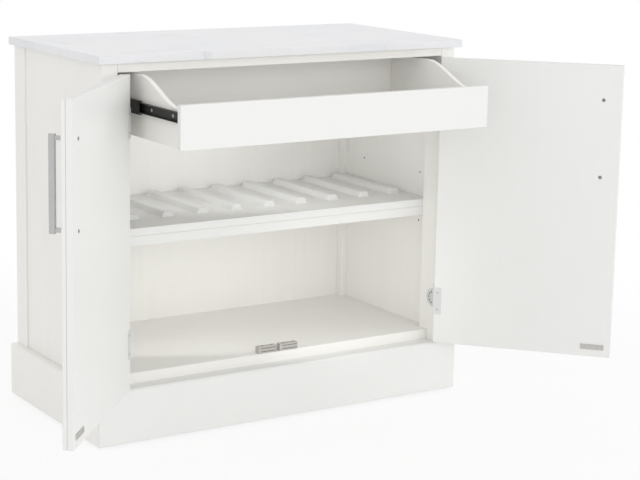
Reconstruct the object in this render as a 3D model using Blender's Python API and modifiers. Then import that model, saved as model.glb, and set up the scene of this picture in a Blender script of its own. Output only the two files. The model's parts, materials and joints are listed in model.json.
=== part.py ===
"""Mobile bar cabinet with two doors, an inner drawer and a bottle shelf.

The carcass has four corner posts with panels between them, a plinth that stands proud
of it, a stone top, and four swivel castors that the plinth hides. Both doors stand
open and the drawer stands part way out.

The model is drawn about the middle of the carcass's front plane at floor level:
X runs to the right, Y to the back and Z up. One empty then moves it, so that the
middle of its bounding box stands over the world's origin.
"""

import math

import bmesh
import bpy
from mathutils import Matrix, Vector

PARTS = "bar_cabinet"
CUTTERS = "cutters"
SIDES = (("left", -1), ("right", 1))

# Gaps between pieces that touch, and distances for clean meshes
SEAT_GAP = 0.0003
WELD_DISTANCE = 0.00005
FLAT_ANGLE = math.radians(0.5)
CUT_OVERRUN = 0.002

# Stone top
TOP_WIDTH = 1.016
TOP_DEPTH = 0.508
TOP_THICKNESS = 0.019
TOP_EDGE_ROUNDING = 0.001
TOP_SIDE_OVERHANG = 0.0135
TOP_FRONT_OVERHANG = 0.0145
TOP_REAR_OVERHANG = 0.004
CABINET_HEIGHT = 0.914
TOP_UNDERSIDE_Z = CABINET_HEIGHT - TOP_THICKNESS

# Carcass: posts, panels and rails
BODY_HALF_WIDTH = TOP_WIDTH / 2 - TOP_SIDE_OVERHANG
BODY_DEPTH = TOP_DEPTH - TOP_FRONT_OVERHANG - TOP_REAR_OVERHANG
CARCASS_TOP_Z = TOP_UNDERSIDE_Z - SEAT_GAP
CASTOR_HEIGHT = 0.100
UNDERSIDE_Z = CASTOR_HEIGHT + SEAT_GAP
POST_WIDTH = 0.040
POST_DEPTH = 0.060
POST_ROUNDING = 0.0012
OPENING_HALF = BODY_HALF_WIDTH - POST_WIDTH
REAR_POST_Y = BODY_DEPTH - POST_DEPTH
BETWEEN_POSTS = OPENING_HALF - SEAT_GAP
SIDE_PANEL_THICKNESS = 0.018
SIDE_PANEL_RECESS = 0.004
WALL_X = BODY_HALF_WIDTH - SIDE_PANEL_RECESS - SIDE_PANEL_THICKNESS
BETWEEN_WALLS = WALL_X - SEAT_GAP
TOP_RAIL_HEIGHT = 0.021
TOP_RAIL_DEPTH = 0.020
BACK_PANEL_SETBACK = 0.022
BACK_PANEL_THICKNESS = 0.012
BACK_PANEL_Y = REAR_POST_Y + BACK_PANEL_SETBACK
FLOOR_TOP_Z = 0.158
FLOOR_THICKNESS = 0.018
BOTTOM_RAIL_SETBACK = 0.0265
BOTTOM_RAIL_DEPTH = 0.018
BOARD_ROUNDING = 0.0008

# Plinth
PLINTH_PROUD = 0.018
PLINTH_TOP_Z = 0.134
PLINTH_CHAMFER = 0.004
PLINTH_FLOOR_GAP = 0.0055

# Shelf-pin holes in the side panels, and the supports that stand in them
PIN_HOLE_RADIUS = 0.0025
PIN_HOLE_DEPTH = 0.010
PIN_HOLE_SEGMENTS = 12
PIN_ROW_FROM_FRONT_POST = 0.0405
PIN_ROW_FROM_REAR_POST = 0.074
PIN_ROW_FRONT_Y = POST_DEPTH + PIN_ROW_FROM_FRONT_POST
PIN_ROW_REAR_Y = REAR_POST_Y - PIN_ROW_FROM_REAR_POST
PIN_HOLE_HEIGHTS = (0.432, 0.464, 0.560)
SUPPORT_HOLE_Z = PIN_HOLE_HEIGHTS[1]
SUPPORT_PIN_RADIUS = 0.0021
SUPPORT_PIN_REACH = 0.008
SUPPORT_WIDTH = 0.011
SUPPORT_SHEET = 0.0017
SUPPORT_LEG_TOP_OVER_PIN = 0.006
SUPPORT_LEDGE = 0.0145

# Lower board of the shelf, the bottle rack on it and the rack's slats
SHELF_FRONT_Y = 0.0605
SHELF_BOARD_BOTTOM_Z = 0.455
SHELF_BOARD_THICKNESS = 0.023
SHELF_BOARD_END_GAP = 0.006
RACK_BOARD_THICKNESS = 0.0187
RACK_BOARD_BOTTOM_Z = SHELF_BOARD_BOTTOM_Z + SHELF_BOARD_THICKNESS + SEAT_GAP
RACK_TOP_Z = RACK_BOARD_BOTTOM_Z + RACK_BOARD_THICKNESS
SLAT_COUNT = 10
SLAT_END_ROOM = 0.0405
SLAT_PITCH = 2 * (WALL_X - SLAT_END_ROOM) / (SLAT_COUNT - 1)
SLAT_BASE_WIDTH = 0.036
SLAT_TOP_WIDTH = 0.022
SLAT_HEIGHT = 0.013
SLAT_ROUNDING = 0.003
SLAT_SETBACK = 0.095
SLAT_SINK = 0.005

# Doors
DOOR_TOP_GAP = 0.0017
DOOR_BOTTOM_GAP = 0.003
DOOR_BOTTOM_Z = PLINTH_TOP_Z + DOOR_BOTTOM_GAP
DOOR_TOP_Z = CARCASS_TOP_Z - TOP_RAIL_HEIGHT - DOOR_TOP_GAP
DOOR_THICKNESS = 0.024
DOOR_FRAME_THICKNESS = 0.0102
DOOR_STILE_WIDTH = 0.062
DOOR_EDGE_ROUNDING = 0.002
DOOR_INSIDE_ROUNDING = 0.001
DOOR_HINGE_GAP = 0.0032
DOOR_MEETING_GAP = 0.002
DOOR_WIDTH = OPENING_HALF - DOOR_HINGE_GAP - DOOR_MEETING_GAP / 2
DOOR_REST_ANGLE = math.radians(132)

# Wrap hinges: a barrel in front of the door, one leaf on the post and one on the door
HINGE_FROM_DOOR_END = 0.110
HINGE_HEIGHTS = (("lower", DOOR_BOTTOM_Z + HINGE_FROM_DOOR_END),
                 ("upper", DOOR_TOP_Z - HINGE_FROM_DOOR_END))
HINGE_LENGTH = 0.070
KNUCKLE_RADIUS = 0.0038
KNUCKLE_SEGMENTS = 12
KNUCKLE_CLEARANCE = 0.0004
POST_KNUCKLE_LENGTH = 0.026
PIN_RADIUS = 0.0019
PIN_CLEARANCE = 0.0003
PIN_HEAD_RADIUS = 0.0034
PIN_HEAD_THICKNESS = 0.0015
LEAF_THICKNESS = 0.001
LEAF_CLEARANCE = 0.0006
POST_LEAF_LENGTH = 0.050
POST_LEAF_DEPTH = 0.030
POST_LEAF_ARC_POINTS = 11
POST_LEAF_HOLES = 5
LEAF_HOLE_RADIUS = 0.0021
POST_LEAF_HOLE_RING_SHARE = 0.64
POST_LEAF_HOLE_SPREAD = math.radians(62)
DOOR_LEAF_WIDTH = 0.020
DOOR_LEAF_HOLES = 2
DOOR_LEAF_HOLE_SPACING = 0.044
LEAF_HOLE_SEGMENTS = 8
AXIS_FORWARD = KNUCKLE_RADIUS + KNUCKLE_CLEARANCE
DOOR_INNER_T = AXIS_FORWARD + DOOR_THICKNESS
DOOR_FREE_S = DOOR_HINGE_GAP + DOOR_WIDTH

# Bar handles on the doors' outer faces
HANDLE_FROM_FREE_EDGE = 0.045
HANDLE_BELOW_DOOR_TOP = 0.182
HANDLE_CENTRE_Z = DOOR_TOP_Z - HANDLE_BELOW_DOOR_TOP
HANDLE_POST_SPACING = 0.192
HANDLE_POST_SIZE = 0.009
HANDLE_BAR_END = 0.008
HANDLE_LENGTH = HANDLE_POST_SPACING + 2 * HANDLE_BAR_END
HANDLE_PROJECTION = 0.040
HANDLE_BAR_WIDTH = 0.012
HANDLE_BAR_DEPTH = 0.0145
HANDLE_ARC_POINTS = 9

# Magnetic catches on the floor, and their strike plates on the doors
STRIKE_LENGTH = 0.058
STRIKE_HEIGHT = 0.013
STRIKE_THICKNESS = 0.0013
STRIKE_ROUNDING = 0.0004
STRIKE_FROM_FREE_EDGE = 0.045
STRIKE_ABOVE_FLOOR = 0.004
STRIKE_CENTRE_Z = FLOOR_TOP_Z + STRIKE_ABOVE_FLOOR
CATCH_INNER_X = 0.0045
CATCH_OUTER_X = 0.0565
CATCH_DEPTH = 0.015
CATCH_HEIGHT = 0.017
CATCH_RIBS = 4
CATCH_GROOVE_DEPTH = 0.003
CATCH_GROOVE_SHARE = 0.4
CATCH_END_CAP = 0.007
CATCH_CAP_PROUD = 0.0005
CATCH_AIR_GAP = 0.0004
CATCH_FRONT_Y = DOOR_THICKNESS + SEAT_GAP + STRIKE_THICKNESS + CATCH_AIR_GAP

# Drawer, measured in its closed place
DRAWER_FRONT_Y = 0.0305
DRAWER_FRONT_INSET = 0.034
DRAWER_FRONT_HALF = OPENING_HALF - DRAWER_FRONT_INSET
DRAWER_FRONT_BELOW_TOP = 0.069
DRAWER_FRONT_HEIGHT = 0.100
DRAWER_FRONT_TOP_Z = TOP_UNDERSIDE_Z - DRAWER_FRONT_BELOW_TOP
DRAWER_FRONT_BOTTOM_Z = DRAWER_FRONT_TOP_Z - DRAWER_FRONT_HEIGHT
DRAWER_FRONT_THICKNESS = 0.014
DRAWER_FRONT_LIP = 0.0125
DRAWER_BOX_HALF = DRAWER_FRONT_HALF - DRAWER_FRONT_LIP
DRAWER_SIDE_THICKNESS = 0.012
DRAWER_REAR_ROOM = 0.041
DRAWER_DEPTH = BACK_PANEL_Y - DRAWER_REAR_ROOM - DRAWER_FRONT_Y
DRAWER_BELOW_TOP = 0.026
DRAWER_TOP_Z = TOP_UNDERSIDE_Z - DRAWER_BELOW_TOP
DRAWER_LOW_EDGE_DROP = 0.012
DRAWER_LOW_EDGE_Z = DRAWER_FRONT_TOP_Z - DRAWER_LOW_EDGE_DROP
DRAWER_BOTTOM_THICKNESS = 0.006
DRAWER_BOTTOM_RAISE = 0.008
OGEE_START = 0.052
OGEE_LENGTH = 0.155
OGEE_POINTS = 17
OGEE_STRAIGHT_SHARE = 0.4
DRAWER_ROUNDING = 0.0008
DRAWER_REST_OUT = 0.265
DRAWER_BACK_OF_FRONT = DRAWER_FRONT_Y + DRAWER_FRONT_THICKNESS
DRAWER_REAR_Y = DRAWER_FRONT_Y + DRAWER_DEPTH

# Three-member ball-bearing slides beside the drawer
SLIDE_WIDTH = 0.0127
SLIDE_BELOW_FRONT_TOP = 0.030
SLIDE_CENTRE_Z = DRAWER_FRONT_TOP_Z - SLIDE_BELOW_FRONT_TOP
SLIDE_SHEET = 0.0011
SLIDE_WEB_CLEARANCE = 0.0004
CABINET_MEMBER_HALF = 0.0182
CABINET_MEMBER_FLANGE = 0.0094
CABINET_MEMBER_LIP = 0.0009
CABINET_MEMBER_START_Y = 0.0465
CABINET_MEMBER_REAR_ROOM = 0.055
CABINET_MEMBER_END_Y = BACK_PANEL_Y - CABINET_MEMBER_REAR_ROOM
CABINET_MEMBER_LENGTH = CABINET_MEMBER_END_Y - CABINET_MEMBER_START_Y
MIDDLE_MEMBER_HALF = 0.0155
MIDDLE_MEMBER_FLANGE = 0.0084
MIDDLE_MEMBER_SHORTER = 0.050
MIDDLE_MEMBER_LENGTH = CABINET_MEMBER_LENGTH - MIDDLE_MEMBER_SHORTER
DRAWER_MEMBER_HALF = 0.0115
DRAWER_MEMBER_FLANGE = 0.0086
DRAWER_MEMBER_LENGTH = CABINET_MEMBER_LENGTH
MIDDLE_TRAVEL_SHARE = 0.5
SLIDE_OUTER_X = DRAWER_BOX_HALF + SLIDE_WIDTH
BATTEN_HEIGHT = 0.048

# Swivel castors
CASTOR_SIDE_INSET = 0.073
CASTOR_FRONT_INSET = 0.070
CASTOR_REAR_INSET = 0.088
CASTOR_BLOCK_WIDTH = 0.052
CASTOR_BLOCK_LENGTH = 0.048
CASTOR_STEM_RADIUS = 0.0055
CASTOR_STEM_LENGTH = 0.030
CASTOR_STEM_CLEARANCE = 0.0003
CASTOR_WASHER_RADIUS = 0.016
CASTOR_WASHER_HEIGHT = 0.006
CASTOR_SEGMENTS = 20
WHEEL_RADIUS = 0.0375
WHEEL_WIDTH = 0.022
WHEEL_SHOULDER = 0.003
WHEEL_HUB_RADIUS = 0.012
WHEEL_RIM_RADIUS = 0.027
WHEEL_WEB_WIDTH = 0.012
WHEEL_BORE_CLEARANCE = 0.0004
WHEEL_SIDE_CLEARANCE = 0.0012
CASTOR_TRAIL = 0.026
FORK_SHEET = 0.0025
FORK_HALF_DEPTH = 0.018
FORK_END_RADIUS = 0.0095
FORK_ARC_POINTS = 7
AXLE_RADIUS = 0.004
AXLE_HEAD = 0.002
AXLE_SEGMENTS = 12
FORK_TOP_Z = CASTOR_HEIGHT - CASTOR_WASHER_HEIGHT
CASTOR_X = BODY_HALF_WIDTH - CASTOR_SIDE_INSET
CASTOR_ROWS = (("front", CASTOR_FRONT_INSET), ("rear", BODY_DEPTH - CASTOR_REAR_INSET))

# Reach of the model in front of and behind the carcass's front plane
FRONT_REACH = (AXIS_FORWARD + DOOR_FREE_S * math.sin(DOOR_REST_ANGLE)
               - DOOR_INNER_T * math.cos(DOOR_REST_ANGLE))
REAR_REACH = TOP_DEPTH - TOP_FRONT_OVERHANG
BODY_FRONT_Y = (FRONT_REACH - REAR_REACH) / 2

# Turns that stand a flat outline up, facing along X or along Y
FACING_X = (math.pi / 2, 0, math.pi / 2)
FACING_Y = (math.pi / 2, 0, 0)


def clear_scene():
    """Remove every object and make the two collections."""
    for thing in list(bpy.data.objects):
        bpy.data.objects.remove(thing)
    for name in (PARTS, CUTTERS):
        collection = bpy.data.collections.new(name)
        bpy.context.scene.collection.children.link(collection)


def make_material(name, colour, roughness, metallic=0.0):
    """Make a Principled material from a linear colour."""
    material = bpy.data.materials.new(name)
    material.use_nodes = True
    shader = material.node_tree.nodes["Principled BSDF"]
    shader.inputs["Base Color"].default_value = (*colour, 1.0)
    shader.inputs["Roughness"].default_value = roughness
    shader.inputs["Metallic"].default_value = metallic
    material.diffuse_color = (*colour, 1.0)
    return material


def white_paint():
    """Warm white lacquer on wood."""
    return make_material("white_paint", (0.86, 0.85, 0.81), 0.45)


def pale_stone():
    """Honed white marble."""
    return make_material("pale_stone", (0.79, 0.80, 0.82), 0.3)


def satin_nickel():
    """Brushed metal of the handles."""
    return make_material("satin_nickel", (0.45, 0.45, 0.44), 0.3, 1.0)


def hinge_steel():
    """Nickel-plated steel of hinges, supports and catches."""
    return make_material("hinge_steel", (0.60, 0.60, 0.59), 0.32, 1.0)


def black_steel():
    """Black electro-coated steel of the drawer slides."""
    return make_material("black_steel", (0.022, 0.022, 0.021), 0.42)


def zinc_steel():
    """Zinc-plated steel of the castors."""
    return make_material("zinc_steel", (0.55, 0.56, 0.57), 0.38, 1.0)


def grey_rubber():
    """Dark grey rubber of the castor wheels."""
    return make_material("grey_rubber", (0.07, 0.07, 0.07), 0.7)


def make_materials():
    """Make each finish once, by name."""
    makers = (white_paint, pale_stone, satin_nickel, hinge_steel, black_steel, zinc_steel,
              grey_rubber)
    return {maker.__name__: maker() for maker in makers}


def make_empty(name, parent, location, turn=0.0):
    """Add an empty that carries pieces on a joint's axis or slide."""
    empty = bpy.data.objects.new(name, None)
    bpy.data.collections[PARTS].objects.link(empty)
    empty.parent = parent
    empty.location = location
    empty.rotation_euler = (0, 0, turn)
    return empty


def place(name, data, material, parent, location=(0, 0, 0), rotation=(0, 0, 0)):
    """Add one part of the cabinet to its collection."""
    part = bpy.data.objects.new(name, data)
    bpy.data.collections[PARTS].objects.link(part)
    data.materials.append(material)
    part.parent = parent
    part.location = location
    part.rotation_euler = rotation
    return part


def make_cutter(part, name, data, location, rotation=(0, 0, 0)):
    """Add a tool body beside a part, in that part's own frame of reference."""
    cutter = bpy.data.objects.new(part.name + "_" + name, data)
    bpy.data.collections[CUTTERS].objects.link(cutter)
    cutter.parent = part.parent
    cutter.location = location
    cutter.rotation_euler = rotation
    cutter.hide_render = True
    cutter.display_type = "WIRE"
    return cutter


def box_mesh(name, spans):
    """A cube as long as each of three spans, and the middle of those spans."""
    size = [high - low for low, high in spans]
    middle = [(high + low) / 2 for low, high in spans]
    mesh = bpy.data.meshes.new(name)
    shape = bmesh.new()
    bmesh.ops.create_cube(shape, size=1.0, matrix=Matrix.Diagonal((*size, 1.0)))
    shape.to_mesh(mesh)
    shape.free()
    return mesh, middle


def cylinder_mesh(name, radius, length, segments, axis, centres=((0, 0, 0),)):
    """A closed cylinder about X, Y or Z, centred on each of some points."""
    turns = {"X": Matrix.Rotation(math.pi / 2, 4, "Y"),
             "Y": Matrix.Rotation(math.pi / 2, 4, "X"),
             "Z": Matrix.Identity(4)}
    mesh = bpy.data.meshes.new(name)
    shape = bmesh.new()
    for centre in centres:
        bmesh.ops.create_cone(shape, cap_ends=True, segments=segments, radius1=radius,
                              radius2=radius, depth=length,
                              matrix=Matrix.Translation(centre) @ turns[axis])
    shape.to_mesh(mesh)
    shape.free()
    return mesh


def sided(side, near, far):
    """The span from near to far on one side of the middle, low end first."""
    return tuple(sorted((side * near, side * far)))


def add_bevel(part, width, segments=2):
    """Round the sharp edges of a mesh or a curve object."""
    if part.type == "CURVE":
        weld = part.modifiers.new("Weld", "WELD")
        weld.merge_threshold = WELD_DISTANCE
    bevel = part.modifiers.new("Bevel", "BEVEL")
    bevel.width = width
    bevel.segments = segments
    bevel.limit_method = "ANGLE"
    return part


def add_box(name, spans, material, parent, rounding=0.0):
    """A board that fills its spans along X, Y and Z."""
    mesh, middle = box_mesh(name, spans)
    part = place(name, mesh, material, parent, middle)
    if rounding:
        add_bevel(part, rounding)
    return part


def outline_curve(name, outlines, thickness):
    """A filled flat shape, its later outlines as holes, centred on its own plane."""
    curve = bpy.data.curves.new(name, "CURVE")
    curve.dimensions = "2D"
    curve.fill_mode = "BOTH"
    curve.extrude = thickness / 2
    for outline in outlines:
        spline = curve.splines.new("POLY")
        spline.points.add(len(outline) - 1)
        for point, (across, up) in zip(spline.points, outline):
            point.co = (across, up, 0, 1)
        spline.use_cyclic_u = True
    return curve


def mesh_of_curve(curve):
    """The closed mesh of a flat outline, its caps welded on and made one face each."""
    holder = bpy.data.objects.new(curve.name + "_outline", curve)
    bpy.context.scene.collection.objects.link(holder)
    graph = bpy.context.evaluated_depsgraph_get()
    mesh = bpy.data.meshes.new_from_object(holder.evaluated_get(graph))
    bpy.data.objects.remove(holder)
    shape = bmesh.new()
    shape.from_mesh(mesh)
    bmesh.ops.remove_doubles(shape, verts=shape.verts, dist=WELD_DISTANCE)
    bmesh.ops.dissolve_limit(shape, angle_limit=FLAT_ANGLE, verts=shape.verts,
                             edges=shape.edges)
    bmesh.ops.recalc_face_normals(shape, faces=shape.faces)
    shape.to_mesh(mesh)
    shape.free()
    return mesh


def outline_mesh(name, outlines, thickness):
    """A flat shape as a mesh, ready to be cut, joined or repeated."""
    return mesh_of_curve(outline_curve(name, outlines, thickness))


def combine(part, tool, operation):
    """Cut a part by a tool, join them, or keep what they share."""
    step = part.modifiers.new(tool.name, "BOOLEAN")
    step.operation = operation
    step.solver = "EXACT"
    step.object = tool
    return part


def cut_box(part, name, spans):
    """Cut a box out of a part."""
    mesh, middle = box_mesh(part.name + "_" + name, spans)
    combine(part, make_cutter(part, name, mesh, middle), "DIFFERENCE")


def join_box(part, name, spans):
    """Join a box to a part."""
    mesh, middle = box_mesh(part.name + "_" + name, spans)
    combine(part, make_cutter(part, name, mesh, middle), "UNION")


def cut_cylinder(part, name, radius, length, segments, axis, centre):
    """Bore a round hole into a part."""
    mesh = cylinder_mesh(part.name + "_" + name, radius, length, segments, axis)
    combine(part, make_cutter(part, name, mesh, centre), "DIFFERENCE")


def cut_cylinders(part, name, radius, length, segments, axis, centres):
    """Bore a set of like holes into a part in one cut."""
    mesh = cylinder_mesh(part.name + "_" + name, radius, length, segments, axis, centres)
    combine(part, make_cutter(part, name, mesh, (0, 0, 0)), "DIFFERENCE")


def join_cylinder(part, name, radius, length, segments, axis, centre):
    """Join a round bar to a part."""
    mesh = cylinder_mesh(part.name + "_" + name, radius, length, segments, axis)
    combine(part, make_cutter(part, name, mesh, centre), "UNION")


def repeat(part, count, offset):
    """Repeat a part's solid as separate bodies at a constant step."""
    array = part.modifiers.new("Array", "ARRAY")
    array.count = count
    array.use_relative_offset = False
    array.use_constant_offset = True
    array.constant_offset_displace = offset
    return part


def turned_mesh(name, profile):
    """A profile of radius and height, drawn as a chain of edges for a Screw."""
    mesh = bpy.data.meshes.new(name)
    points = [(radius, 0, height) for radius, height in profile]
    edges = [(index, index + 1) for index in range(len(points) - 1)]
    mesh.from_pydata(points, edges, [])
    return mesh


def add_screw(part, steps):
    """Turn a profile once round its own Z axis."""
    screw = part.modifiers.new("Screw", "SCREW")
    screw.steps = steps
    screw.render_steps = steps
    screw.use_merge_vertices = True
    screw.merge_threshold = WELD_DISTANCE
    return part


def add_notched_board(name, half_width, depth, height, material, parent):
    """A level board, notched wherever it reaches past a post."""
    board = add_box(name, ((-half_width, half_width), depth, height), material, parent)
    front_y, rear_y = depth
    above = (height[0] - CUT_OVERRUN, height[1] + CUT_OVERRUN)
    front_notch = POST_DEPTH + SEAT_GAP
    rear_notch = REAR_POST_Y - SEAT_GAP
    for word, side in SIDES:
        across = sided(side, BETWEEN_POSTS, half_width + CUT_OVERRUN)
        if front_y < front_notch:
            cut_box(board, "front_" + word + "_notch",
                    (across, (front_y - CUT_OVERRUN, front_notch), above))
        if rear_y > rear_notch:
            cut_box(board, "rear_" + word + "_notch",
                    (across, (rear_notch, rear_y + CUT_OVERRUN), above))
    return board


def build_top(root, finishes):
    """The stone slab that closes the cabinet."""
    half = TOP_WIDTH / 2
    spans = ((-half, half), (-TOP_FRONT_OVERHANG, TOP_DEPTH - TOP_FRONT_OVERHANG),
             (TOP_UNDERSIDE_Z, CABINET_HEIGHT))
    add_box("stone_top", spans, finishes["pale_stone"], root, TOP_EDGE_ROUNDING)


def build_posts(root, finishes):
    """Four corner posts, their long side along Y."""
    rows = (("front", 0), ("rear", REAR_POST_Y))
    for row, low in rows:
        for word, side in SIDES:
            spans = (sided(side, OPENING_HALF, BODY_HALF_WIDTH), (low, low + POST_DEPTH),
                     (UNDERSIDE_Z, CARCASS_TOP_Z))
            add_box(row + "_" + word + "_post", spans, finishes["white_paint"], root,
                    POST_ROUNDING)


def build_side_panels(root, finishes):
    """Recessed side panels with rows of shelf-pin holes in their inner faces."""
    for word, side in SIDES:
        outer = WALL_X + SIDE_PANEL_THICKNESS
        spans = (sided(side, WALL_X, outer),
                 (POST_DEPTH + SEAT_GAP, REAR_POST_Y - SEAT_GAP), (UNDERSIDE_Z, CARCASS_TOP_Z))
        panel = add_box(word + "_side_panel", spans, finishes["white_paint"], root)
        holes = [(side * WALL_X, along, height)
                 for along in (PIN_ROW_FRONT_Y, PIN_ROW_REAR_Y) for height in PIN_HOLE_HEIGHTS]
        cut_cylinders(panel, "pin_holes", PIN_HOLE_RADIUS, PIN_HOLE_DEPTH * 2,
                      PIN_HOLE_SEGMENTS, "X", holes)


def build_rails(root, finishes):
    """The two rails between the front posts."""
    paint = finishes["white_paint"]
    across = (-BETWEEN_POSTS, BETWEEN_POSTS)
    top = (across, (0, TOP_RAIL_DEPTH), (TOP_UNDERSIDE_Z - TOP_RAIL_HEIGHT, CARCASS_TOP_Z))
    add_box("top_front_rail", top, paint, root, BOARD_ROUNDING)
    bottom = (across, (BOTTOM_RAIL_SETBACK, BOTTOM_RAIL_SETBACK + BOTTOM_RAIL_DEPTH),
              (UNDERSIDE_Z, FLOOR_TOP_Z))
    add_box("bottom_front_rail", bottom, paint, root, BOARD_ROUNDING)


def build_panels(root, finishes):
    """The back panel between the rear posts, and the cabinet's floor."""
    paint = finishes["white_paint"]
    spans = ((-BETWEEN_POSTS, BETWEEN_POSTS),
             (BACK_PANEL_Y, BACK_PANEL_Y + BACK_PANEL_THICKNESS), (UNDERSIDE_Z, CARCASS_TOP_Z))
    add_box("back_panel", spans, paint, root)
    front = BOTTOM_RAIL_SETBACK + BOTTOM_RAIL_DEPTH + SEAT_GAP
    low = FLOOR_TOP_Z - FLOOR_THICKNESS
    floor = add_notched_board("floor_panel", BETWEEN_WALLS, (front, BACK_PANEL_Y - SEAT_GAP),
                              (low, FLOOR_TOP_Z), paint, root)
    for row, along in CASTOR_ROWS:
        for word, side in SIDES:
            add_castor_block(floor, row + "_" + word, side, along, low)


def add_castor_block(floor, name, side, along, floor_low):
    """Glue a corner block under the floor, and bore it for a castor's stem."""
    half_width = CASTOR_BLOCK_WIDTH / 2
    half_length = CASTOR_BLOCK_LENGTH / 2
    join_box(floor, name + "_block",
             (sided(side, CASTOR_X - half_width, CASTOR_X + half_width),
              (along - half_length, along + half_length),
              (UNDERSIDE_Z, floor_low + FLOOR_THICKNESS / 2)))
    reach = CASTOR_STEM_LENGTH + CASTOR_STEM_CLEARANCE
    centre = (side * CASTOR_X, along, CASTOR_HEIGHT + (reach - CUT_OVERRUN) / 2)
    cut_cylinder(floor, name + "_socket", CASTOR_STEM_RADIUS + CASTOR_STEM_CLEARANCE,
                 reach + CUT_OVERRUN, PIN_HOLE_SEGMENTS, "Z", centre)


def chamfer_top(board, outward):
    """Chamfer the top edge of a plinth board on the side that faces outward."""
    mesh = board.data
    shape = bmesh.new()
    shape.from_mesh(mesh)
    weights = shape.edges.layers.float.new("bevel_weight_edge")
    top = max(vertex.co.z for vertex in shape.verts)
    reach = max(vertex.co.dot(outward) for vertex in shape.verts)
    for edge in shape.edges:
        on_top = all(vertex.co.z > top - WELD_DISTANCE for vertex in edge.verts)
        outside = all(vertex.co.dot(outward) > reach - WELD_DISTANCE for vertex in edge.verts)
        edge[weights] = 1.0 if on_top and outside else 0.0
    shape.to_mesh(mesh)
    shape.free()
    bevel = board.modifiers.new("Chamfer", "BEVEL")
    bevel.width = PLINTH_CHAMFER
    bevel.segments = 1
    bevel.limit_method = "WEIGHT"


def build_plinth(root, finishes):
    """Plinth boards proud of the carcass, mitred at the two front corners."""
    paint = finishes["white_paint"]
    outer = BODY_HALF_WIDTH + PLINTH_PROUD
    inner = BODY_HALF_WIDTH + SEAT_GAP
    height = PLINTH_TOP_Z - PLINTH_FLOOR_GAP
    middle = (0, 0, (PLINTH_TOP_Z + PLINTH_FLOOR_GAP) / 2)
    mitre = SEAT_GAP / 2
    front_plan = [(-outer + mitre, -PLINTH_PROUD), (outer - mitre, -PLINTH_PROUD),
                  (inner - mitre, -SEAT_GAP), (mitre - inner, -SEAT_GAP)]
    front = place("plinth_front", outline_mesh("plinth_front", [front_plan], height), paint,
                  root, middle)
    chamfer_top(front, Vector((0, -1, 0)))
    for word, side in SIDES:
        side_plan = [(side * outer, mitre - PLINTH_PROUD), (side * outer, BODY_DEPTH),
                     (side * inner, BODY_DEPTH), (side * inner, mitre - SEAT_GAP)]
        board = place("plinth_" + word, outline_mesh("plinth_" + word, [side_plan], height),
                      paint, root, middle)
        chamfer_top(board, Vector((side, 0, 0)))
    rear = ((-BODY_HALF_WIDTH, BODY_HALF_WIDTH), (BODY_DEPTH - PLINTH_PROUD, BODY_DEPTH),
            (PLINTH_FLOOR_GAP, UNDERSIDE_Z - SEAT_GAP))
    add_box("plinth_rear", rear, paint, root, BOARD_ROUNDING)


def build_shelf(root, finishes):
    """The shelf's lower board, and the bottle rack that lies on it."""
    paint = finishes["white_paint"]
    depth = (SHELF_FRONT_Y, BACK_PANEL_Y - SEAT_GAP)
    lower = (SHELF_BOARD_BOTTOM_Z, SHELF_BOARD_BOTTOM_Z + SHELF_BOARD_THICKNESS)
    add_notched_board("shelf_board", WALL_X - SHELF_BOARD_END_GAP, depth, lower, paint, root)
    rack = add_notched_board("bottle_rack", BETWEEN_WALLS, depth,
                             (RACK_BOARD_BOTTOM_Z, RACK_TOP_Z), paint, root)
    add_slats(rack)


def add_slats(rack):
    """Glue slats from front to back on the rack, with a channel for a bottle between two."""
    base = SLAT_BASE_WIDTH / 2
    crest = SLAT_TOP_WIDTH / 2
    top = RACK_TOP_Z + SLAT_HEIGHT
    sunk = RACK_TOP_Z - SLAT_SINK
    section = [(-base, sunk), (base, sunk), (base, RACK_TOP_Z), (crest, top), (-crest, top),
               (-base, RACK_TOP_Z)]
    start = SHELF_FRONT_Y + SLAT_SETBACK
    end = REAR_POST_Y - SEAT_GAP
    first = -SLAT_PITCH * (SLAT_COUNT - 1) / 2
    mesh = outline_mesh("slats", [section], end - start)
    slats = make_cutter(rack, "slats", mesh, (first, (start + end) / 2, 0), FACING_Y)
    add_bevel(slats, SLAT_ROUNDING)
    repeat(slats, SLAT_COUNT, (SLAT_PITCH, 0, 0))
    combine(rack, slats, "UNION")


def build_shelf_supports(root, finishes):
    """Four angle supports, each with a pin in a hole of the side wall."""
    ledge_top = SHELF_BOARD_BOTTOM_Z - SEAT_GAP
    ledge_low = ledge_top - SUPPORT_SHEET
    wall = BETWEEN_WALLS
    leg_face = wall - SUPPORT_SHEET
    half = SUPPORT_WIDTH / 2
    pin_tip = WALL_X + SUPPORT_PIN_REACH
    pin_root = wall - SUPPORT_SHEET / 2
    for row, along in (("front", PIN_ROW_FRONT_Y), ("rear", PIN_ROW_REAR_Y)):
        width = (along - half, along + half)
        for word, side in SIDES:
            leg = (sided(side, leg_face, wall), width,
                   (ledge_low, SUPPORT_HOLE_Z + SUPPORT_LEG_TOP_OVER_PIN))
            support = add_box(row + "_" + word + "_shelf_support", leg,
                              finishes["hinge_steel"], root)
            join_box(support, "ledge", (sided(side, wall - SUPPORT_LEDGE, wall), width,
                                        (ledge_low, ledge_top)))
            join_cylinder(support, "pin", SUPPORT_PIN_RADIUS, pin_tip - pin_root,
                          PIN_HOLE_SEGMENTS, "X",
                          (side * (pin_tip + pin_root) / 2, along, SUPPORT_HOLE_Z))


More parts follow.
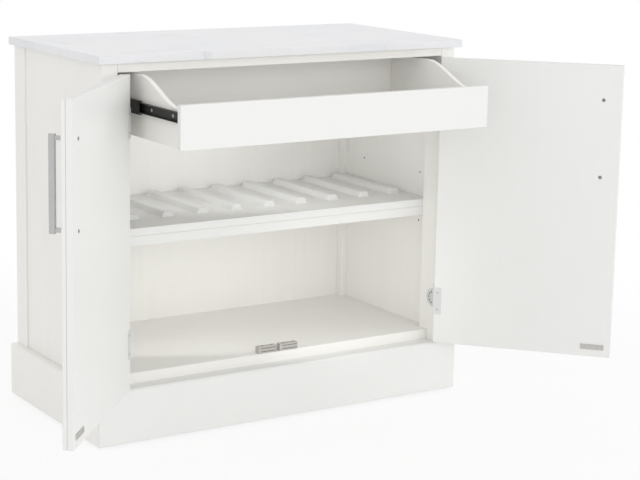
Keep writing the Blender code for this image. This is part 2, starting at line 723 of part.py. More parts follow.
def post_leaf_outline():
    """Half-moon leaf with a tab that runs forward to the barrel."""
    front = LEAF_CLEARANCE - KNUCKLE_CLEARANCE
    tab = POST_KNUCKLE_LENGTH / 2
    outline = []
    for index in range(POST_LEAF_ARC_POINTS):
        angle = math.pi * (index / (POST_LEAF_ARC_POINTS - 1) - 1 / 2)
        outline.append((front + POST_LEAF_DEPTH * math.cos(angle),
                        POST_LEAF_LENGTH / 2 * math.sin(angle)))
    outline += [(front, tab), (-AXIS_FORWARD, tab), (-AXIS_FORWARD, -tab), (front, -tab)]
    return outline


def build_post_leaf(name, side, height, root, finishes):
    """A leaf on a front post, with the hinge's middle knuckle and its pin."""
    plate_x = side * (OPENING_HALF - SEAT_GAP - LEAF_THICKNESS / 2)
    mesh = outline_mesh(name, [post_leaf_outline()], LEAF_THICKNESS)
    leaf = place(name, mesh, finishes["hinge_steel"], root, (plate_x, 0, height), FACING_X)
    front = LEAF_CLEARANCE - KNUCKLE_CLEARANCE
    holes = []
    for number in range(POST_LEAF_HOLES):
        angle = POST_LEAF_HOLE_SPREAD * (2 * number / (POST_LEAF_HOLES - 1) - 1)
        along = front + POST_LEAF_DEPTH * POST_LEAF_HOLE_RING_SHARE * math.cos(angle)
        up = POST_LEAF_LENGTH / 2 * POST_LEAF_HOLE_RING_SHARE * math.sin(angle)
        holes.append((plate_x, along, height + up))
    cut_cylinders(leaf, "holes", LEAF_HOLE_RADIUS, LEAF_THICKNESS + CUT_OVERRUN,
                  LEAF_HOLE_SEGMENTS, "X", holes)
    centre = (side * OPENING_HALF, -AXIS_FORWARD, height)
    join_cylinder(leaf, "knuckle", KNUCKLE_RADIUS, POST_KNUCKLE_LENGTH, KNUCKLE_SEGMENTS,
                  "Z", centre)
    add_hinge_pin(leaf, centre)


def add_hinge_pin(leaf, centre):
    """Rivet a hinge's pin through the middle knuckle, with a head at each end."""
    shank = HINGE_LENGTH / 2 + SEAT_GAP
    join_cylinder(leaf, "pin", PIN_RADIUS, (shank + PIN_HEAD_THICKNESS / 2) * 2,
                  KNUCKLE_SEGMENTS, "Z", centre)
    across, along, height = centre
    for word, way in (("lower", -1), ("upper", 1)):
        middle = height + way * (shank + PIN_HEAD_THICKNESS / 2)
        join_cylinder(leaf, word + "_head", PIN_HEAD_RADIUS, PIN_HEAD_THICKNESS,
                      KNUCKLE_SEGMENTS, "Z", (across, along, middle))


def build_door_leaf(name, side, height, hinge, finishes):
    """A leaf that wraps a door's edge, with the hinge's two outer knuckles."""
    skin = DOOR_HINGE_GAP - SEAT_GAP
    near = skin - LEAF_THICKNESS
    inner = DOOR_INNER_T + SEAT_GAP
    end = near + DOOR_LEAF_WIDTH
    section = [(near, 0), (skin, 0), (skin, inner), (end, inner), (end, inner + LEAF_THICKNESS),
               (near, inner + LEAF_THICKNESS)]
    plan = [(-side * across, along) for across, along in section]
    mesh = outline_mesh(name, [plan], HINGE_LENGTH)
    leaf = place(name, mesh, finishes["hinge_steel"], hinge, (0, 0, height))
    centre = (0, 0, height)
    join_cylinder(leaf, "knuckle", KNUCKLE_RADIUS, HINGE_LENGTH, KNUCKLE_SEGMENTS, "Z", centre)
    window = POST_KNUCKLE_LENGTH / 2 + KNUCKLE_CLEARANCE
    reach = KNUCKLE_RADIUS + LEAF_CLEARANCE
    cut_box(leaf, "window",
            ((-reach, reach), (-reach, reach), (height - window, height + window)))
    cut_cylinder(leaf, "bore", PIN_RADIUS + PIN_CLEARANCE, HINGE_LENGTH + CUT_OVERRUN,
                 KNUCKLE_SEGMENTS, "Z", centre)
    middle = (skin + end) / 2
    holes = []
    for number in range(DOOR_LEAF_HOLES):
        up = DOOR_LEAF_HOLE_SPACING * (number / (DOOR_LEAF_HOLES - 1) - 1 / 2)
        holes.append((-side * middle, inner + LEAF_THICKNESS / 2, height + up))
    cut_cylinders(leaf, "holes", LEAF_HOLE_RADIUS, LEAF_THICKNESS + CUT_OVERRUN,
                  LEAF_HOLE_SEGMENTS, "Y", holes)


def build_door_boards(word, side, hinge, finishes):
    """A door's inner board and the frame applied to its outer face."""
    paint = finishes["white_paint"]
    near, far = DOOR_HINGE_GAP, DOOR_FREE_S
    split = AXIS_FORWARD + DOOR_FRAME_THICKNESS
    spans = (sided(-side, near, far), (split + SEAT_GAP, DOOR_INNER_T),
             (DOOR_BOTTOM_Z, DOOR_TOP_Z))
    add_box(word + "_door_panel", spans, paint, hinge, DOOR_INSIDE_ROUNDING)
    inset = DOOR_STILE_WIDTH
    outer = rectangle(-side * near, -side * far, DOOR_BOTTOM_Z, DOOR_TOP_Z)
    hole = rectangle(-side * (near + inset), -side * (far - inset), DOOR_BOTTOM_Z + inset,
                     DOOR_TOP_Z - inset)
    name = word + "_door_frame"
    curve = outline_curve(name, [outer, hole], DOOR_FRAME_THICKNESS)
    frame = place(name, curve, paint, hinge, (0, (AXIS_FORWARD + split) / 2, 0), FACING_Y)
    add_bevel(frame, DOOR_EDGE_ROUNDING)


def rectangle(left, right, low, high):
    """The four corners of an upright rectangle."""
    return [(left, low), (right, low), (right, high), (left, high)]


def build_handle(word, side, hinge, finishes):
    """A half-round bar on two square posts."""
    back = AXIS_FORWARD - HANDLE_PROJECTION + HANDLE_BAR_DEPTH
    half = HANDLE_BAR_WIDTH / 2
    section = []
    for index in range(HANDLE_ARC_POINTS):
        angle = math.pi * index / (HANDLE_ARC_POINTS - 1)
        section.append((half * math.cos(angle), back - HANDLE_BAR_DEPTH * math.sin(angle)))
    middle = -side * (DOOR_FREE_S - HANDLE_FROM_FREE_EDGE)
    name = word + "_door_handle"
    handle = place(name, outline_mesh(name, [section], HANDLE_LENGTH),
                   finishes["satin_nickel"], hinge, (middle, 0, HANDLE_CENTRE_Z))
    post = HANDLE_POST_SIZE / 2
    for number, way in enumerate((-1, 1)):
        height = HANDLE_CENTRE_Z + way * HANDLE_POST_SPACING / 2
        join_box(handle, "post_" + str(number),
                 ((middle - post, middle + post), (back - post, AXIS_FORWARD - SEAT_GAP),
                  (height - post, height + post)))


def build_strike(word, side, hinge, finishes):
    """The steel plate on a door's inner face that the catch holds."""
    centre = DOOR_FREE_S - STRIKE_FROM_FREE_EDGE
    spans = (sided(-side, centre - STRIKE_LENGTH / 2, centre + STRIKE_LENGTH / 2),
             (DOOR_INNER_T + SEAT_GAP, DOOR_INNER_T + SEAT_GAP + STRIKE_THICKNESS),
             (STRIKE_CENTRE_Z - STRIKE_HEIGHT / 2, STRIKE_CENTRE_Z + STRIKE_HEIGHT / 2))
    add_box(word + "_door_strike", spans, finishes["hinge_steel"], hinge, STRIKE_ROUNDING)


def build_doors(root, finishes):
    """Both doors, each on an empty that stands on its hinge axis."""
    for word, side in SIDES:
        hinge = make_empty(word + "_door_axis", root, (side * OPENING_HALF, -AXIS_FORWARD, 0),
                           side * DOOR_REST_ANGLE)
        build_door_boards(word, side, hinge, finishes)
        build_handle(word, side, hinge, finishes)
        build_strike(word, side, hinge, finishes)
        for level, height in HINGE_HEIGHTS:
            name = word + "_" + level + "_hinge"
            build_door_leaf(name + "_door_leaf", side, height, hinge, finishes)
            build_post_leaf(name + "_post_leaf", side, height, root, finishes)


def catch_outline():
    """Section of a catch with level grooves across its front."""
    low = FLOOR_TOP_Z + SEAT_GAP
    rear = CATCH_FRONT_Y + CATCH_DEPTH
    pitch = CATCH_HEIGHT / CATCH_RIBS
    groove = pitch * CATCH_GROOVE_SHARE
    outline = [(rear, low), (CATCH_FRONT_Y, low)]
    for number in range(1, CATCH_RIBS):
        middle = low + number * pitch
        outline += [(CATCH_FRONT_Y, middle - groove / 2),
                    (CATCH_FRONT_Y + CATCH_GROOVE_DEPTH, middle - groove / 2),
                    (CATCH_FRONT_Y + CATCH_GROOVE_DEPTH, middle + groove / 2),
                    (CATCH_FRONT_Y, middle + groove / 2)]
    return outline + [(CATCH_FRONT_Y, low + CATCH_HEIGHT), (rear, low + CATCH_HEIGHT)]


def build_catches(root, finishes):
    """Two magnetic catches side by side at the front of the floor."""
    low = FLOOR_TOP_Z + SEAT_GAP
    length = CATCH_OUTER_X - CATCH_INNER_X
    for word, side in SIDES:
        name = word + "_catch"
        mesh = outline_mesh(name, [catch_outline()], length)
        middle = side * (CATCH_OUTER_X + CATCH_INNER_X) / 2
        catch = place(name, mesh, finishes["hinge_steel"], root, (middle, 0, 0), FACING_X)
        start = middle - length / 2
        join_box(catch, "cap", ((start - CATCH_CAP_PROUD, start + CATCH_END_CAP),
                                (CATCH_FRONT_Y, CATCH_FRONT_Y + CATCH_DEPTH),
                                (low, low + CATCH_HEIGHT + CATCH_CAP_PROUD)))


def drawer_side_outline():
    """Side view of a drawer side whose top edge falls to the front in an ogee."""
    front = DRAWER_BACK_OF_FRONT + SEAT_GAP
    outline = [(front, DRAWER_FRONT_BOTTOM_Z), (DRAWER_REAR_Y, DRAWER_FRONT_BOTTOM_Z),
               (DRAWER_REAR_Y, DRAWER_TOP_Z)]
    for index in range(OGEE_POINTS):
        share = 1 - index / (OGEE_POINTS - 1)
        curved = 3 * share ** 2 - 2 * share ** 3
        rise = OGEE_STRAIGHT_SHARE * share + (1 - OGEE_STRAIGHT_SHARE) * curved
        outline.append((DRAWER_FRONT_Y + OGEE_START + OGEE_LENGTH * share,
                        DRAWER_LOW_EDGE_Z + (DRAWER_TOP_Z - DRAWER_LOW_EDGE_Z) * rise))
    return outline + [(front, DRAWER_LOW_EDGE_Z)]


def build_drawer_box(drawer, finishes):
    """The drawer's front, sides, back and bottom."""
    paint = finishes["white_paint"]
    front = ((-DRAWER_FRONT_HALF, DRAWER_FRONT_HALF), (DRAWER_FRONT_Y, DRAWER_BACK_OF_FRONT),
             (DRAWER_FRONT_BOTTOM_Z, DRAWER_FRONT_TOP_Z))
    add_box("drawer_front", front, paint, drawer, DRAWER_ROUNDING)
    for word, side in SIDES:
        name = "drawer_" + word + "_side"
        curve = outline_curve(name, [drawer_side_outline()], DRAWER_SIDE_THICKNESS)
        middle = side * (DRAWER_BOX_HALF - DRAWER_SIDE_THICKNESS / 2)
        board = place(name, curve, paint, drawer, (middle, 0, 0), FACING_X)
        add_bevel(board, DRAWER_ROUNDING, 1)
    inside = DRAWER_BOX_HALF - DRAWER_SIDE_THICKNESS - SEAT_GAP
    floor_low = DRAWER_FRONT_BOTTOM_Z + DRAWER_BOTTOM_RAISE
    back_front = DRAWER_REAR_Y - DRAWER_SIDE_THICKNESS
    back = ((-inside, inside), (back_front, DRAWER_REAR_Y), (floor_low, DRAWER_TOP_Z))
    add_box("drawer_back", back, paint, drawer, DRAWER_ROUNDING)
    bottom = ((-inside, inside), (DRAWER_BACK_OF_FRONT + SEAT_GAP, back_front - SEAT_GAP),
              (floor_low, floor_low + DRAWER_BOTTOM_THICKNESS))
    add_box("drawer_bottom", bottom, paint, drawer)


def channel_outline(side, web_x, open_x, half_height, lip=0.0):
    """Section of a channel: web at one X, flanges that run to another, maybe lips."""
    way = math.copysign(1, open_x - web_x)
    inner_x = web_x + way * SLIDE_SHEET
    inner = half_height - SLIDE_SHEET
    outline = [(web_x, -half_height), (open_x, -half_height)]
    if lip:
        outline += [(open_x, lip - inner), (open_x - way * SLIDE_SHEET, lip - inner),
                    (open_x - way * SLIDE_SHEET, -inner)]
    else:
        outline += [(open_x, -inner)]
    outline += [(inner_x, -inner)]
    upper = [(across, -up) for across, up in reversed(outline)]
    return [(side * across, SLIDE_CENTRE_Z + up) for across, up in outline + upper]


def add_channel(name, outline, start, length, parent, finishes):
    """A rolled steel member that runs from front to back."""
    mesh = outline_mesh(name, [outline], length)
    return place(name, mesh, finishes["black_steel"], parent, (0, start + length / 2, 0),
                 FACING_Y)


def build_slides(root, drawer, middles, finishes):
    """Slides of three nested members, and the battens that carry them."""
    cabinet_web = SLIDE_OUTER_X - SEAT_GAP
    cabinet_open = cabinet_web - CABINET_MEMBER_FLANGE
    middle_web = cabinet_web - SLIDE_SHEET - SLIDE_WEB_CLEARANCE
    middle_open = middle_web - MIDDLE_MEMBER_FLANGE
    drawer_web = DRAWER_BOX_HALF + SEAT_GAP
    drawer_open = drawer_web + DRAWER_MEMBER_FLANGE
    drawer_start = DRAWER_BACK_OF_FRONT + SEAT_GAP
    for word, side in SIDES:
        batten = (sided(side, SLIDE_OUTER_X, BETWEEN_POSTS),
                  (CABINET_MEMBER_START_Y, BACK_PANEL_Y - SEAT_GAP),
                  (SLIDE_CENTRE_Z - BATTEN_HEIGHT / 2, SLIDE_CENTRE_Z + BATTEN_HEIGHT / 2))
        add_box(word + "_slide_batten", batten, finishes["white_paint"], root)
        outer = channel_outline(side, cabinet_web, cabinet_open, CABINET_MEMBER_HALF,
                                CABINET_MEMBER_LIP)
        add_channel(word + "_slide_cabinet_member", outer, CABINET_MEMBER_START_Y,
                    CABINET_MEMBER_LENGTH, root, finishes)
        middle = channel_outline(side, middle_web, middle_open, MIDDLE_MEMBER_HALF)
        add_channel(word + "_slide_middle_member", middle,
                    CABINET_MEMBER_END_Y - MIDDLE_MEMBER_LENGTH, MIDDLE_MEMBER_LENGTH,
                    middles[word], finishes)
        inner = channel_outline(side, drawer_web, drawer_open, DRAWER_MEMBER_HALF)
        add_channel(word + "_slide_drawer_member", inner, drawer_start, DRAWER_MEMBER_LENGTH,
                    drawer, finishes)


def build_drawer(root, finishes):
    """The drawer, pulled part way out, with its slides half as far."""
    drawer = make_empty("drawer_travel", root, (0, -DRAWER_REST_OUT, 0))
    middles = {}
    for word, _ in SIDES:
        middles[word] = make_empty(word + "_middle_travel", root,
                                   (0, -DRAWER_REST_OUT * MIDDLE_TRAVEL_SHARE, 0))
    build_drawer_box(drawer, finishes)
    build_slides(root, drawer, middles, finishes)


def fork_section():
    """Front view of a fork: a crown with a cheek down each side of the wheel."""
    inside = WHEEL_WIDTH / 2 + WHEEL_SIDE_CLEARANCE
    outside = inside + FORK_SHEET
    low = WHEEL_RADIUS - FORK_END_RADIUS
    crown = FORK_TOP_Z - FORK_SHEET
    return [(-outside, low), (-inside, low), (-inside, crown), (inside, crown), (inside, low),
            (outside, low), (outside, FORK_TOP_Z), (-outside, FORK_TOP_Z)]


def fork_side():
    """Side view of a fork: wide at its crown, round about the axle that trails it."""
    outline = [(-FORK_HALF_DEPTH, FORK_TOP_Z)]
    for index in range(FORK_ARC_POINTS):
        angle = math.pi * (1 + index / (FORK_ARC_POINTS - 1))
        outline.append((CASTOR_TRAIL + FORK_END_RADIUS * math.cos(angle),
                        WHEEL_RADIUS + FORK_END_RADIUS * math.sin(angle)))
    return outline + [(FORK_HALF_DEPTH, FORK_TOP_Z)]


def build_fork(name, swivel, finishes):
    """A pressed fork with its stem, and the axle riveted through its cheeks."""
    length = (CASTOR_TRAIL + FORK_END_RADIUS + FORK_HALF_DEPTH) * 2
    fork = place(name, outline_mesh(name, [fork_section()], length), finishes["zinc_steel"],
                 swivel, (0, 0, 0), FACING_Y)
    width = WHEEL_WIDTH * 2
    side_view = outline_mesh(name + "_side_view", [fork_side()], width)
    combine(fork, make_cutter(fork, "side_view", side_view, (0, 0, 0), FACING_X), "INTERSECT")
    reach = WHEEL_WIDTH / 2 + WHEEL_SIDE_CLEARANCE + FORK_SHEET + AXLE_HEAD
    join_cylinder(fork, "axle", AXLE_RADIUS, reach * 2, AXLE_SEGMENTS, "X",
                  (0, CASTOR_TRAIL, WHEEL_RADIUS))
    sunk = FORK_TOP_Z - FORK_SHEET / 2
    join_cylinder(fork, "washer", CASTOR_WASHER_RADIUS, CASTOR_HEIGHT - sunk, CASTOR_SEGMENTS,
                  "Z", (0, 0, (CASTOR_HEIGHT + sunk) / 2))
    stem_top = CASTOR_HEIGHT + CASTOR_STEM_LENGTH
    join_cylinder(fork, "stem", CASTOR_STEM_RADIUS, stem_top - sunk, PIN_HOLE_SEGMENTS, "Z",
                  (0, 0, (stem_top + sunk) / 2))


def wheel_profile():
    """Half section of a wheel, from its bore round the tread and back."""
    half = WHEEL_WIDTH / 2
    web = WHEEL_WEB_WIDTH / 2
    bore = AXLE_RADIUS + WHEEL_BORE_CLEARANCE
    outer = [(bore, half), (WHEEL_HUB_RADIUS, half), (WHEEL_HUB_RADIUS, web),
             (WHEEL_RIM_RADIUS, web), (WHEEL_RIM_RADIUS, half),
             (WHEEL_RADIUS - WHEEL_SHOULDER, half), (WHEEL_RADIUS, half - WHEEL_SHOULDER)]
    lower = [(radius, -height) for radius, height in reversed(outer)]
    return outer + lower + outer[:1]


def build_castors(root, finishes):
    """Four castors whose forks swivel and whose wheels roll."""
    for row, along in CASTOR_ROWS:
        for word, side in SIDES:
            name = row + "_" + word + "_castor"
            swivel = make_empty(name + "_swivel", root, (side * CASTOR_X, along, 0))
            build_fork(name + "_fork", swivel, finishes)
            wheel_name = name + "_wheel"
            wheel = place(wheel_name, turned_mesh(wheel_name, wheel_profile()),
                          finishes["grey_rubber"], swivel, (0, CASTOR_TRAIL, WHEEL_RADIUS),
                          (0, math.pi / 2, 0))
            add_screw(wheel, CASTOR_SEGMENTS)


def build_cabinet():
    """Build every part of the cabinet."""
    clear_scene()
    finishes = make_materials()
    root = make_empty("cabinet_place", None, (0, BODY_FRONT_Y, 0))
    build_top(root, finishes)
    build_posts(root, finishes)
    build_side_panels(root, finishes)
    build_rails(root, finishes)
    build_panels(root, finishes)
    build_plinth(root, finishes)
    build_shelf(root, finishes)
    build_shelf_supports(root, finishes)
    build_doors(root, finishes)
    build_catches(root, finishes)
    build_drawer(root, finishes)
    build_castors(root, finishes)


build_cabinet()
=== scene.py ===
"""A white lacquered bar cabinet with a stone top, in a plain pale studio."""

import json
import logging
import math
from dataclasses import dataclass
from enum import Enum
from functools import partial
from typing import Callable, Iterable, Sequence

import bmesh
import bpy
from mathutils import Matrix, Vector


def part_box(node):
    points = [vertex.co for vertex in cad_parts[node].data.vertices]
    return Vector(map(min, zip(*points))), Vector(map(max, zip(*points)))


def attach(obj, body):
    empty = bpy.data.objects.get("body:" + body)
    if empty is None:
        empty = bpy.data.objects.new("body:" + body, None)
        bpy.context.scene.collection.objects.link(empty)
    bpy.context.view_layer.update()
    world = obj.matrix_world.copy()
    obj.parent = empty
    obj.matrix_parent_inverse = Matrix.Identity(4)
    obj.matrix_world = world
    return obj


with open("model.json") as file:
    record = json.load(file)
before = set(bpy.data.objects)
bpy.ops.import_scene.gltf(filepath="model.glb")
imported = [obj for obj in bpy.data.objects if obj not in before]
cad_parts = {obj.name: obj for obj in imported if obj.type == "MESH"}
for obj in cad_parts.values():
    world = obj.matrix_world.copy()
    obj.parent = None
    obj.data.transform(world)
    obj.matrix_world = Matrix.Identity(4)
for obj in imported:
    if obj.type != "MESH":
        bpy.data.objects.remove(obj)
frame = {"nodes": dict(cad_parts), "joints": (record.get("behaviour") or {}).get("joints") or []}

LOG = logging.getLogger("bar_cabinet")
MM = 0.001
SMOOTH_UP_TO_DEG = 35
# A Mix node names its colour sockets as it does its other sockets, so they go by number.
MIX_A, MIX_B, MIX_RESULT = 6, 7, 2
ORGANIC_IOR = 1.5
MARBLE_IOR = 1.55
FERRITE_IOR = 1.6
BEVEL_SAMPLES = 6
CABINET = "cabinet"
CORNERS = ("front_left", "front_right", "rear_left", "rear_right")


class Side(Enum):
    """Which half of the cabinet, by its sign along X."""

    LEFT = -1
    RIGHT = 1

    @property
    def word(self) -> str:
        """The side's word in the CAD node names."""
        return self.name.lower()

    @property
    def outward(self) -> Vector:
        """The way from the cabinet's middle to this side."""
        return Vector((self.value, 0, 0))


class Grain(Enum):
    """The way the timber's fibres and the lacquer's brush strokes run."""

    ALONG_X = (1, 0, 0)
    ALONG_Y = (0, 1, 0)
    ALONG_Z = (0, 0, 1)


class Slot(Enum):
    """The record's material slots by name; the pieces made here are not given them."""

    WHITE_PAINT = "white_paint"
    HINGE_STEEL = "hinge_steel"
    BLACK_STEEL = "black_steel"
    ZINC_STEEL = "zinc_steel"


def linear(hex_colour: str) -> tuple[float, float, float, float]:
    """Turns an sRGB hex colour to Blender's linear colour, by the standard's curve.

    Args:
        hex_colour: Six hex digits after a #.

    Returns:
        Linear red, green, blue and an alpha of 1.
    """
    parts = [int(hex_colour[start:start + 2], 16) / 255 for start in (1, 3, 5)]
    straight = [part / 12.92 if part <= 0.04045 else ((part + 0.055) / 1.055) ** 2.4
                for part in parts]
    return (*straight, 1.0)


def set_up(node: bpy.types.Node, settings: dict, links: dict) -> bpy.types.Node:
    """Gives a node its settings and its incoming links.

    Args:
        node: The node.
        settings: Values by name. A name of the node's own attribute sets that, and any
            other name or number is an input socket.
        links: (node, output) by input socket name or number.

    Returns:
        The same node.
    """
    for name, value in settings.items():
        if isinstance(name, str) and hasattr(node, name):
            setattr(node, name, value)
        else:
            node.inputs[name].default_value = value
    for name, (source, output) in links.items():
        node.id_data.links.new(source.outputs[output], node.inputs[name])
    return node


def add_node(tree: bpy.types.NodeTree, kind: str, settings: dict | None = None,
             links: dict | None = None) -> bpy.types.Node:
    """Adds one node with its settings and its incoming links.

    Args:
        tree: The node tree to add to.
        kind: Blender's name of the node type, less its ShaderNode prefix.
        settings: Values by attribute name, or by input socket name or number.
        links: (node, output) by input socket name or number.

    Returns:
        The new node.
    """
    return set_up(tree.nodes.new(f"ShaderNode{kind}"), settings or {}, links or {})


def start_material(name: str) -> tuple[bpy.types.Material, bpy.types.Node, Callable, tuple]:
    """Starts a finish.

    Args:
        name: The material's name.

    Returns:
        The material, its shader, a function that adds a node to its tree, and the link to
        the piece's own coordinates.
    """
    material = bpy.data.materials.new(name)
    material.use_nodes = True
    add = partial(add_node, material.node_tree)
    shader = material.node_tree.nodes["Principled BSDF"]
    return material, shader, add, (add("TexCoord"), "Object")


def span(low: float, high: float, to_low: float = 0.0, to_high: float = 1.0) -> dict:
    """The settings that map one range to another.

    Args:
        low: Where the incoming range starts.
        high: Where it ends.
        to_low: What its start becomes.
        to_high: What its end becomes.

    Returns:
        The values by socket name.
    """
    return {"From Min": low, "From Max": high, "To Min": to_low, "To Max": to_high}


def set_ramp(ramp: bpy.types.Node, stops: Sequence[tuple[float, str]]) -> None:
    """Gives a colour ramp its two stops.

    Args:
        ramp: The Color Ramp node.
        stops: (place, sRGB hex) from low to high.
    """
    for element, (place, colour) in zip(ramp.color_ramp.elements, stops):
        element.position = place
        element.color = linear(colour)


def as_object(name: str, shape: bmesh.types.BMesh) -> bpy.types.Object:
    """Makes an object of a shape.

    Args:
        name: The object's name.
        shape: Its shape, in the row frame. It is freed.

    Returns:
        The new object.
    """
    mesh = bpy.data.meshes.new(name)
    bmesh.ops.recalc_face_normals(shape, faces=shape.faces)
    shape.to_mesh(mesh)
    shape.free()
    made = bpy.data.objects.new(name, mesh)
    bpy.context.scene.collection.objects.link(made)
    return made


def new_piece(name: str, shape: bmesh.types.BMesh, finish: bpy.types.Material, body: str,
              smooth: bool = False) -> None:
    """Makes one piece of the object from a finished shape.

    Args:
        name: The piece's name.
        shape: The shape, in the row frame. It is freed.
        finish: Its material.
        body: The CAD body that it rides on.
        smooth: Whether faces that meet at a shallow angle are shaded smooth.
    """
    piece = as_object(name, shape)
    piece.data.materials.append(finish)
    if smooth:
        piece.data.shade_smooth()
        piece.data.set_sharp_from_angle(angle=math.radians(SMOOTH_UP_TO_DEG))
    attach(piece, body)
    LOG.info("piece %s rides on %s, %d faces", name, body, len(piece.data.polygons))


def dress(nodes: Iterable[str], finish: bpy.types.Material) -> None:
    """Gives CAD nodes a finish.

    Args:
        nodes: The nodes' names.
        finish: Their material.
    """
    for name in nodes:
        mesh = frame["nodes"][name].data
        mesh.materials.clear()
        mesh.materials.append(finish)
        LOG.info("node %s wears %s", name, finish.name)


def face_at(node: str, side: Side, outer: bool = False) -> float:
    """Where a CAD node's face stands along X.

    Args:
        node: The node's name.
        side: Which half of the cabinet it is in.
        outer: Whether the face away from the opening is meant.

    Returns:
        The place along X.
    """
    low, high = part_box(node)
    return (high if (side is Side.RIGHT) == outer else low)[0]


def middle(node: str, axis: int = 2) -> float:
    """The middle of a CAD node's box along an axis, which is Z unless given."""
    low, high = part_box(node)
    return (low[axis] + high[axis]) / 2


def bridge(shape: bmesh.types.BMesh, rings: Sequence[Sequence[bmesh.types.BMVert]]) -> None:
    """Joins each ring of vertices to the next with faces.

    Args:
        shape: The shape that holds them.
        rings: The rings, of which one may be a single vertex.
    """
    for low, high in zip(rings, rings[1:]):
        steps = max(len(low), len(high))
        for step in range(steps):
            after = (step + 1) % steps
            corners = [low[step % len(low)], low[after % len(low)],
                       high[after % len(high)], high[step % len(high)]]
            shape.faces.new(list(dict.fromkeys(corners)))


def turned(profile: Sequence[tuple[float, float]], segments: int = 24) -> bmesh.types.BMesh:
    """Turns a profile round Z, closing it where it meets the axis.

    Args:
        profile: (radius, height), in order.
        segments: Steps round.

    Returns:
        The turned shape.
    """
    shape = bmesh.new()
    rings = []
    for radius, height in profile:
        turns = [math.tau * step / segments for step in range(segments if radius else 1)]
        rings.append([shape.verts.new((radius * math.cos(turn), radius * math.sin(turn),
                                       height)) for turn in turns])
    bridge(shape, rings)
    return shape


def swept(outline: Iterable[Sequence[float]], way: Sequence[float],
          shape: bmesh.types.BMesh | None = None) -> bmesh.types.BMesh:
    """Sweeps a flat outline along a straight way.

    Args:
        outline: The outline's points, in order.
        way: How far and where it is swept.
        shape: A shape to add to, or None for a new one.

    Returns:
        The shape with the swept body in it.
    """
    shape = shape or bmesh.new()
    face = shape.faces.new([shape.verts.new(point) for point in outline])
    made = bmesh.ops.extrude_face_region(shape, geom=[face])
    bmesh.ops.translate(shape, vec=way, verts=[item for item in made["geom"]
                                               if isinstance(item, bmesh.types.BMVert)])
    return shape


def copies(template: bmesh.types.BMesh, places: Iterable[Matrix]) -> bmesh.types.BMesh:
    """Puts copies of one shape at several places.

    Args:
        template: The shape, about its own origin. It is freed.
        places: One matrix for each copy.

    Returns:
        One shape that holds all copies.
    """
    source = bpy.data.meshes.new("template")
    template.to_mesh(source)
    template.free()
    whole = bmesh.new()
    for place in places:
        copy = source.copy()
        copy.transform(place)
        whole.from_mesh(copy)
        bpy.data.meshes.remove(copy)
    bpy.data.meshes.remove(source)
    return whole


def facing(origin: Sequence[float], outward: Vector, turn_deg: float = 0.0) -> Matrix:
    """A place whose Z points outward from a surface.

    Args:
        origin: The point on the surface.
        outward: The surface's normal.
        turn_deg: Turn about that normal.

    Returns:
        The placing matrix.
    """
    turn = Vector((0, 0, 1)).rotation_difference(outward).to_matrix().to_4x4()
    return (Matrix.Translation(origin) @ turn
            @ Matrix.Rotation(math.radians(turn_deg), 4, "Z"))


def standing(x: Vector, y: Vector, z: Vector, origin: Sequence[float]) -> Matrix:
    """A place by its own three axes.

    Args:
        x: Its X in the row frame.
        y: Its Y.
        z: Its Z.
        origin: Its origin.

    Returns:
        The placing matrix.
    """
    place = Matrix.Identity(4)
    for column, vector in enumerate((x, y, z, origin)):
        place.col[column][:3] = vector
    return place


@dataclass(frozen=True)
class CrossHeadScrew:
    """A screw head with a pressed cross recess, resting on z = 0."""

    radius: float
    rise: float
    sink: float = 0.0
    rim_share: float = 0.4
    dome_steps: int = 6
    recess_share: float = 0.62
    arm_share: float = 0.2
    arm_taper: float = 0.6
    depth_share: float = 0.75
    cut_share: float = 1.5
    segments: int = 32

    def fit(self, name: str, places: Iterable[Matrix], finish: bpy.types.Material, body: str,
            slot: Slot) -> None:
        """Puts such screws in, as one piece.

        Args:
            name: The piece's name.
            places: One matrix for each screw.
            finish: Its material.
            body: The CAD body that it rides on.
            slot: Its material slot; not used.
        """
        new_piece(name, copies(self.shape(), places), finish, body, smooth=True)

    def shape(self) -> bmesh.types.BMesh:
        """Builds the head, with its recess pressed into the dome.

        Returns:
            The head's shape, its underside sunk by the sink.
        """
        rim = self.rise * self.rim_share
        profile = [(0, -self.sink), (self.radius, -self.sink), (self.radius, rim)]
        for step in range(1, self.dome_steps):
            turn = math.pi / 2 * step / self.dome_steps
            profile.append((self.radius * math.cos(turn),
                            rim + (self.rise - rim) * math.sin(turn)))
        head = as_object("head", turned(profile + [(0, self.rise)], self.segments))
        cutter = as_object("cross", self._cross())
        press = head.modifiers.new("recess", "BOOLEAN")
        press.operation, press.object, press.solver = "DIFFERENCE", cutter, "EXACT"
        shape = bmesh.new()
        shape.from_object(head, bpy.context.evaluated_depsgraph_get())
        for helper in (head, cutter):
            mesh = helper.data
            bpy.data.objects.remove(helper)
            bpy.data.meshes.remove(mesh)
        return shape

    def _cross(self) -> bmesh.types.BMesh:
        """The cross that is pressed out, from the recess's floor to above the head.

        Returns:
            The cross's shape.
        """
        arm, reach = self.radius * self.arm_share, self.radius * self.recess_share
        floor = self.rise * (1 - self.depth_share) - self.sink / 2
        quarter = [(arm, arm), (reach, arm * self.arm_taper), (reach, -arm * self.arm_taper)]
        outline = []
        for _ in range(4):
            outline += [(x, y, floor) for x, y in quarter]
            quarter = [(y, -x) for x, y in quarter]
        return swept(outline, (0, 0, self.rise * self.cut_share - floor))


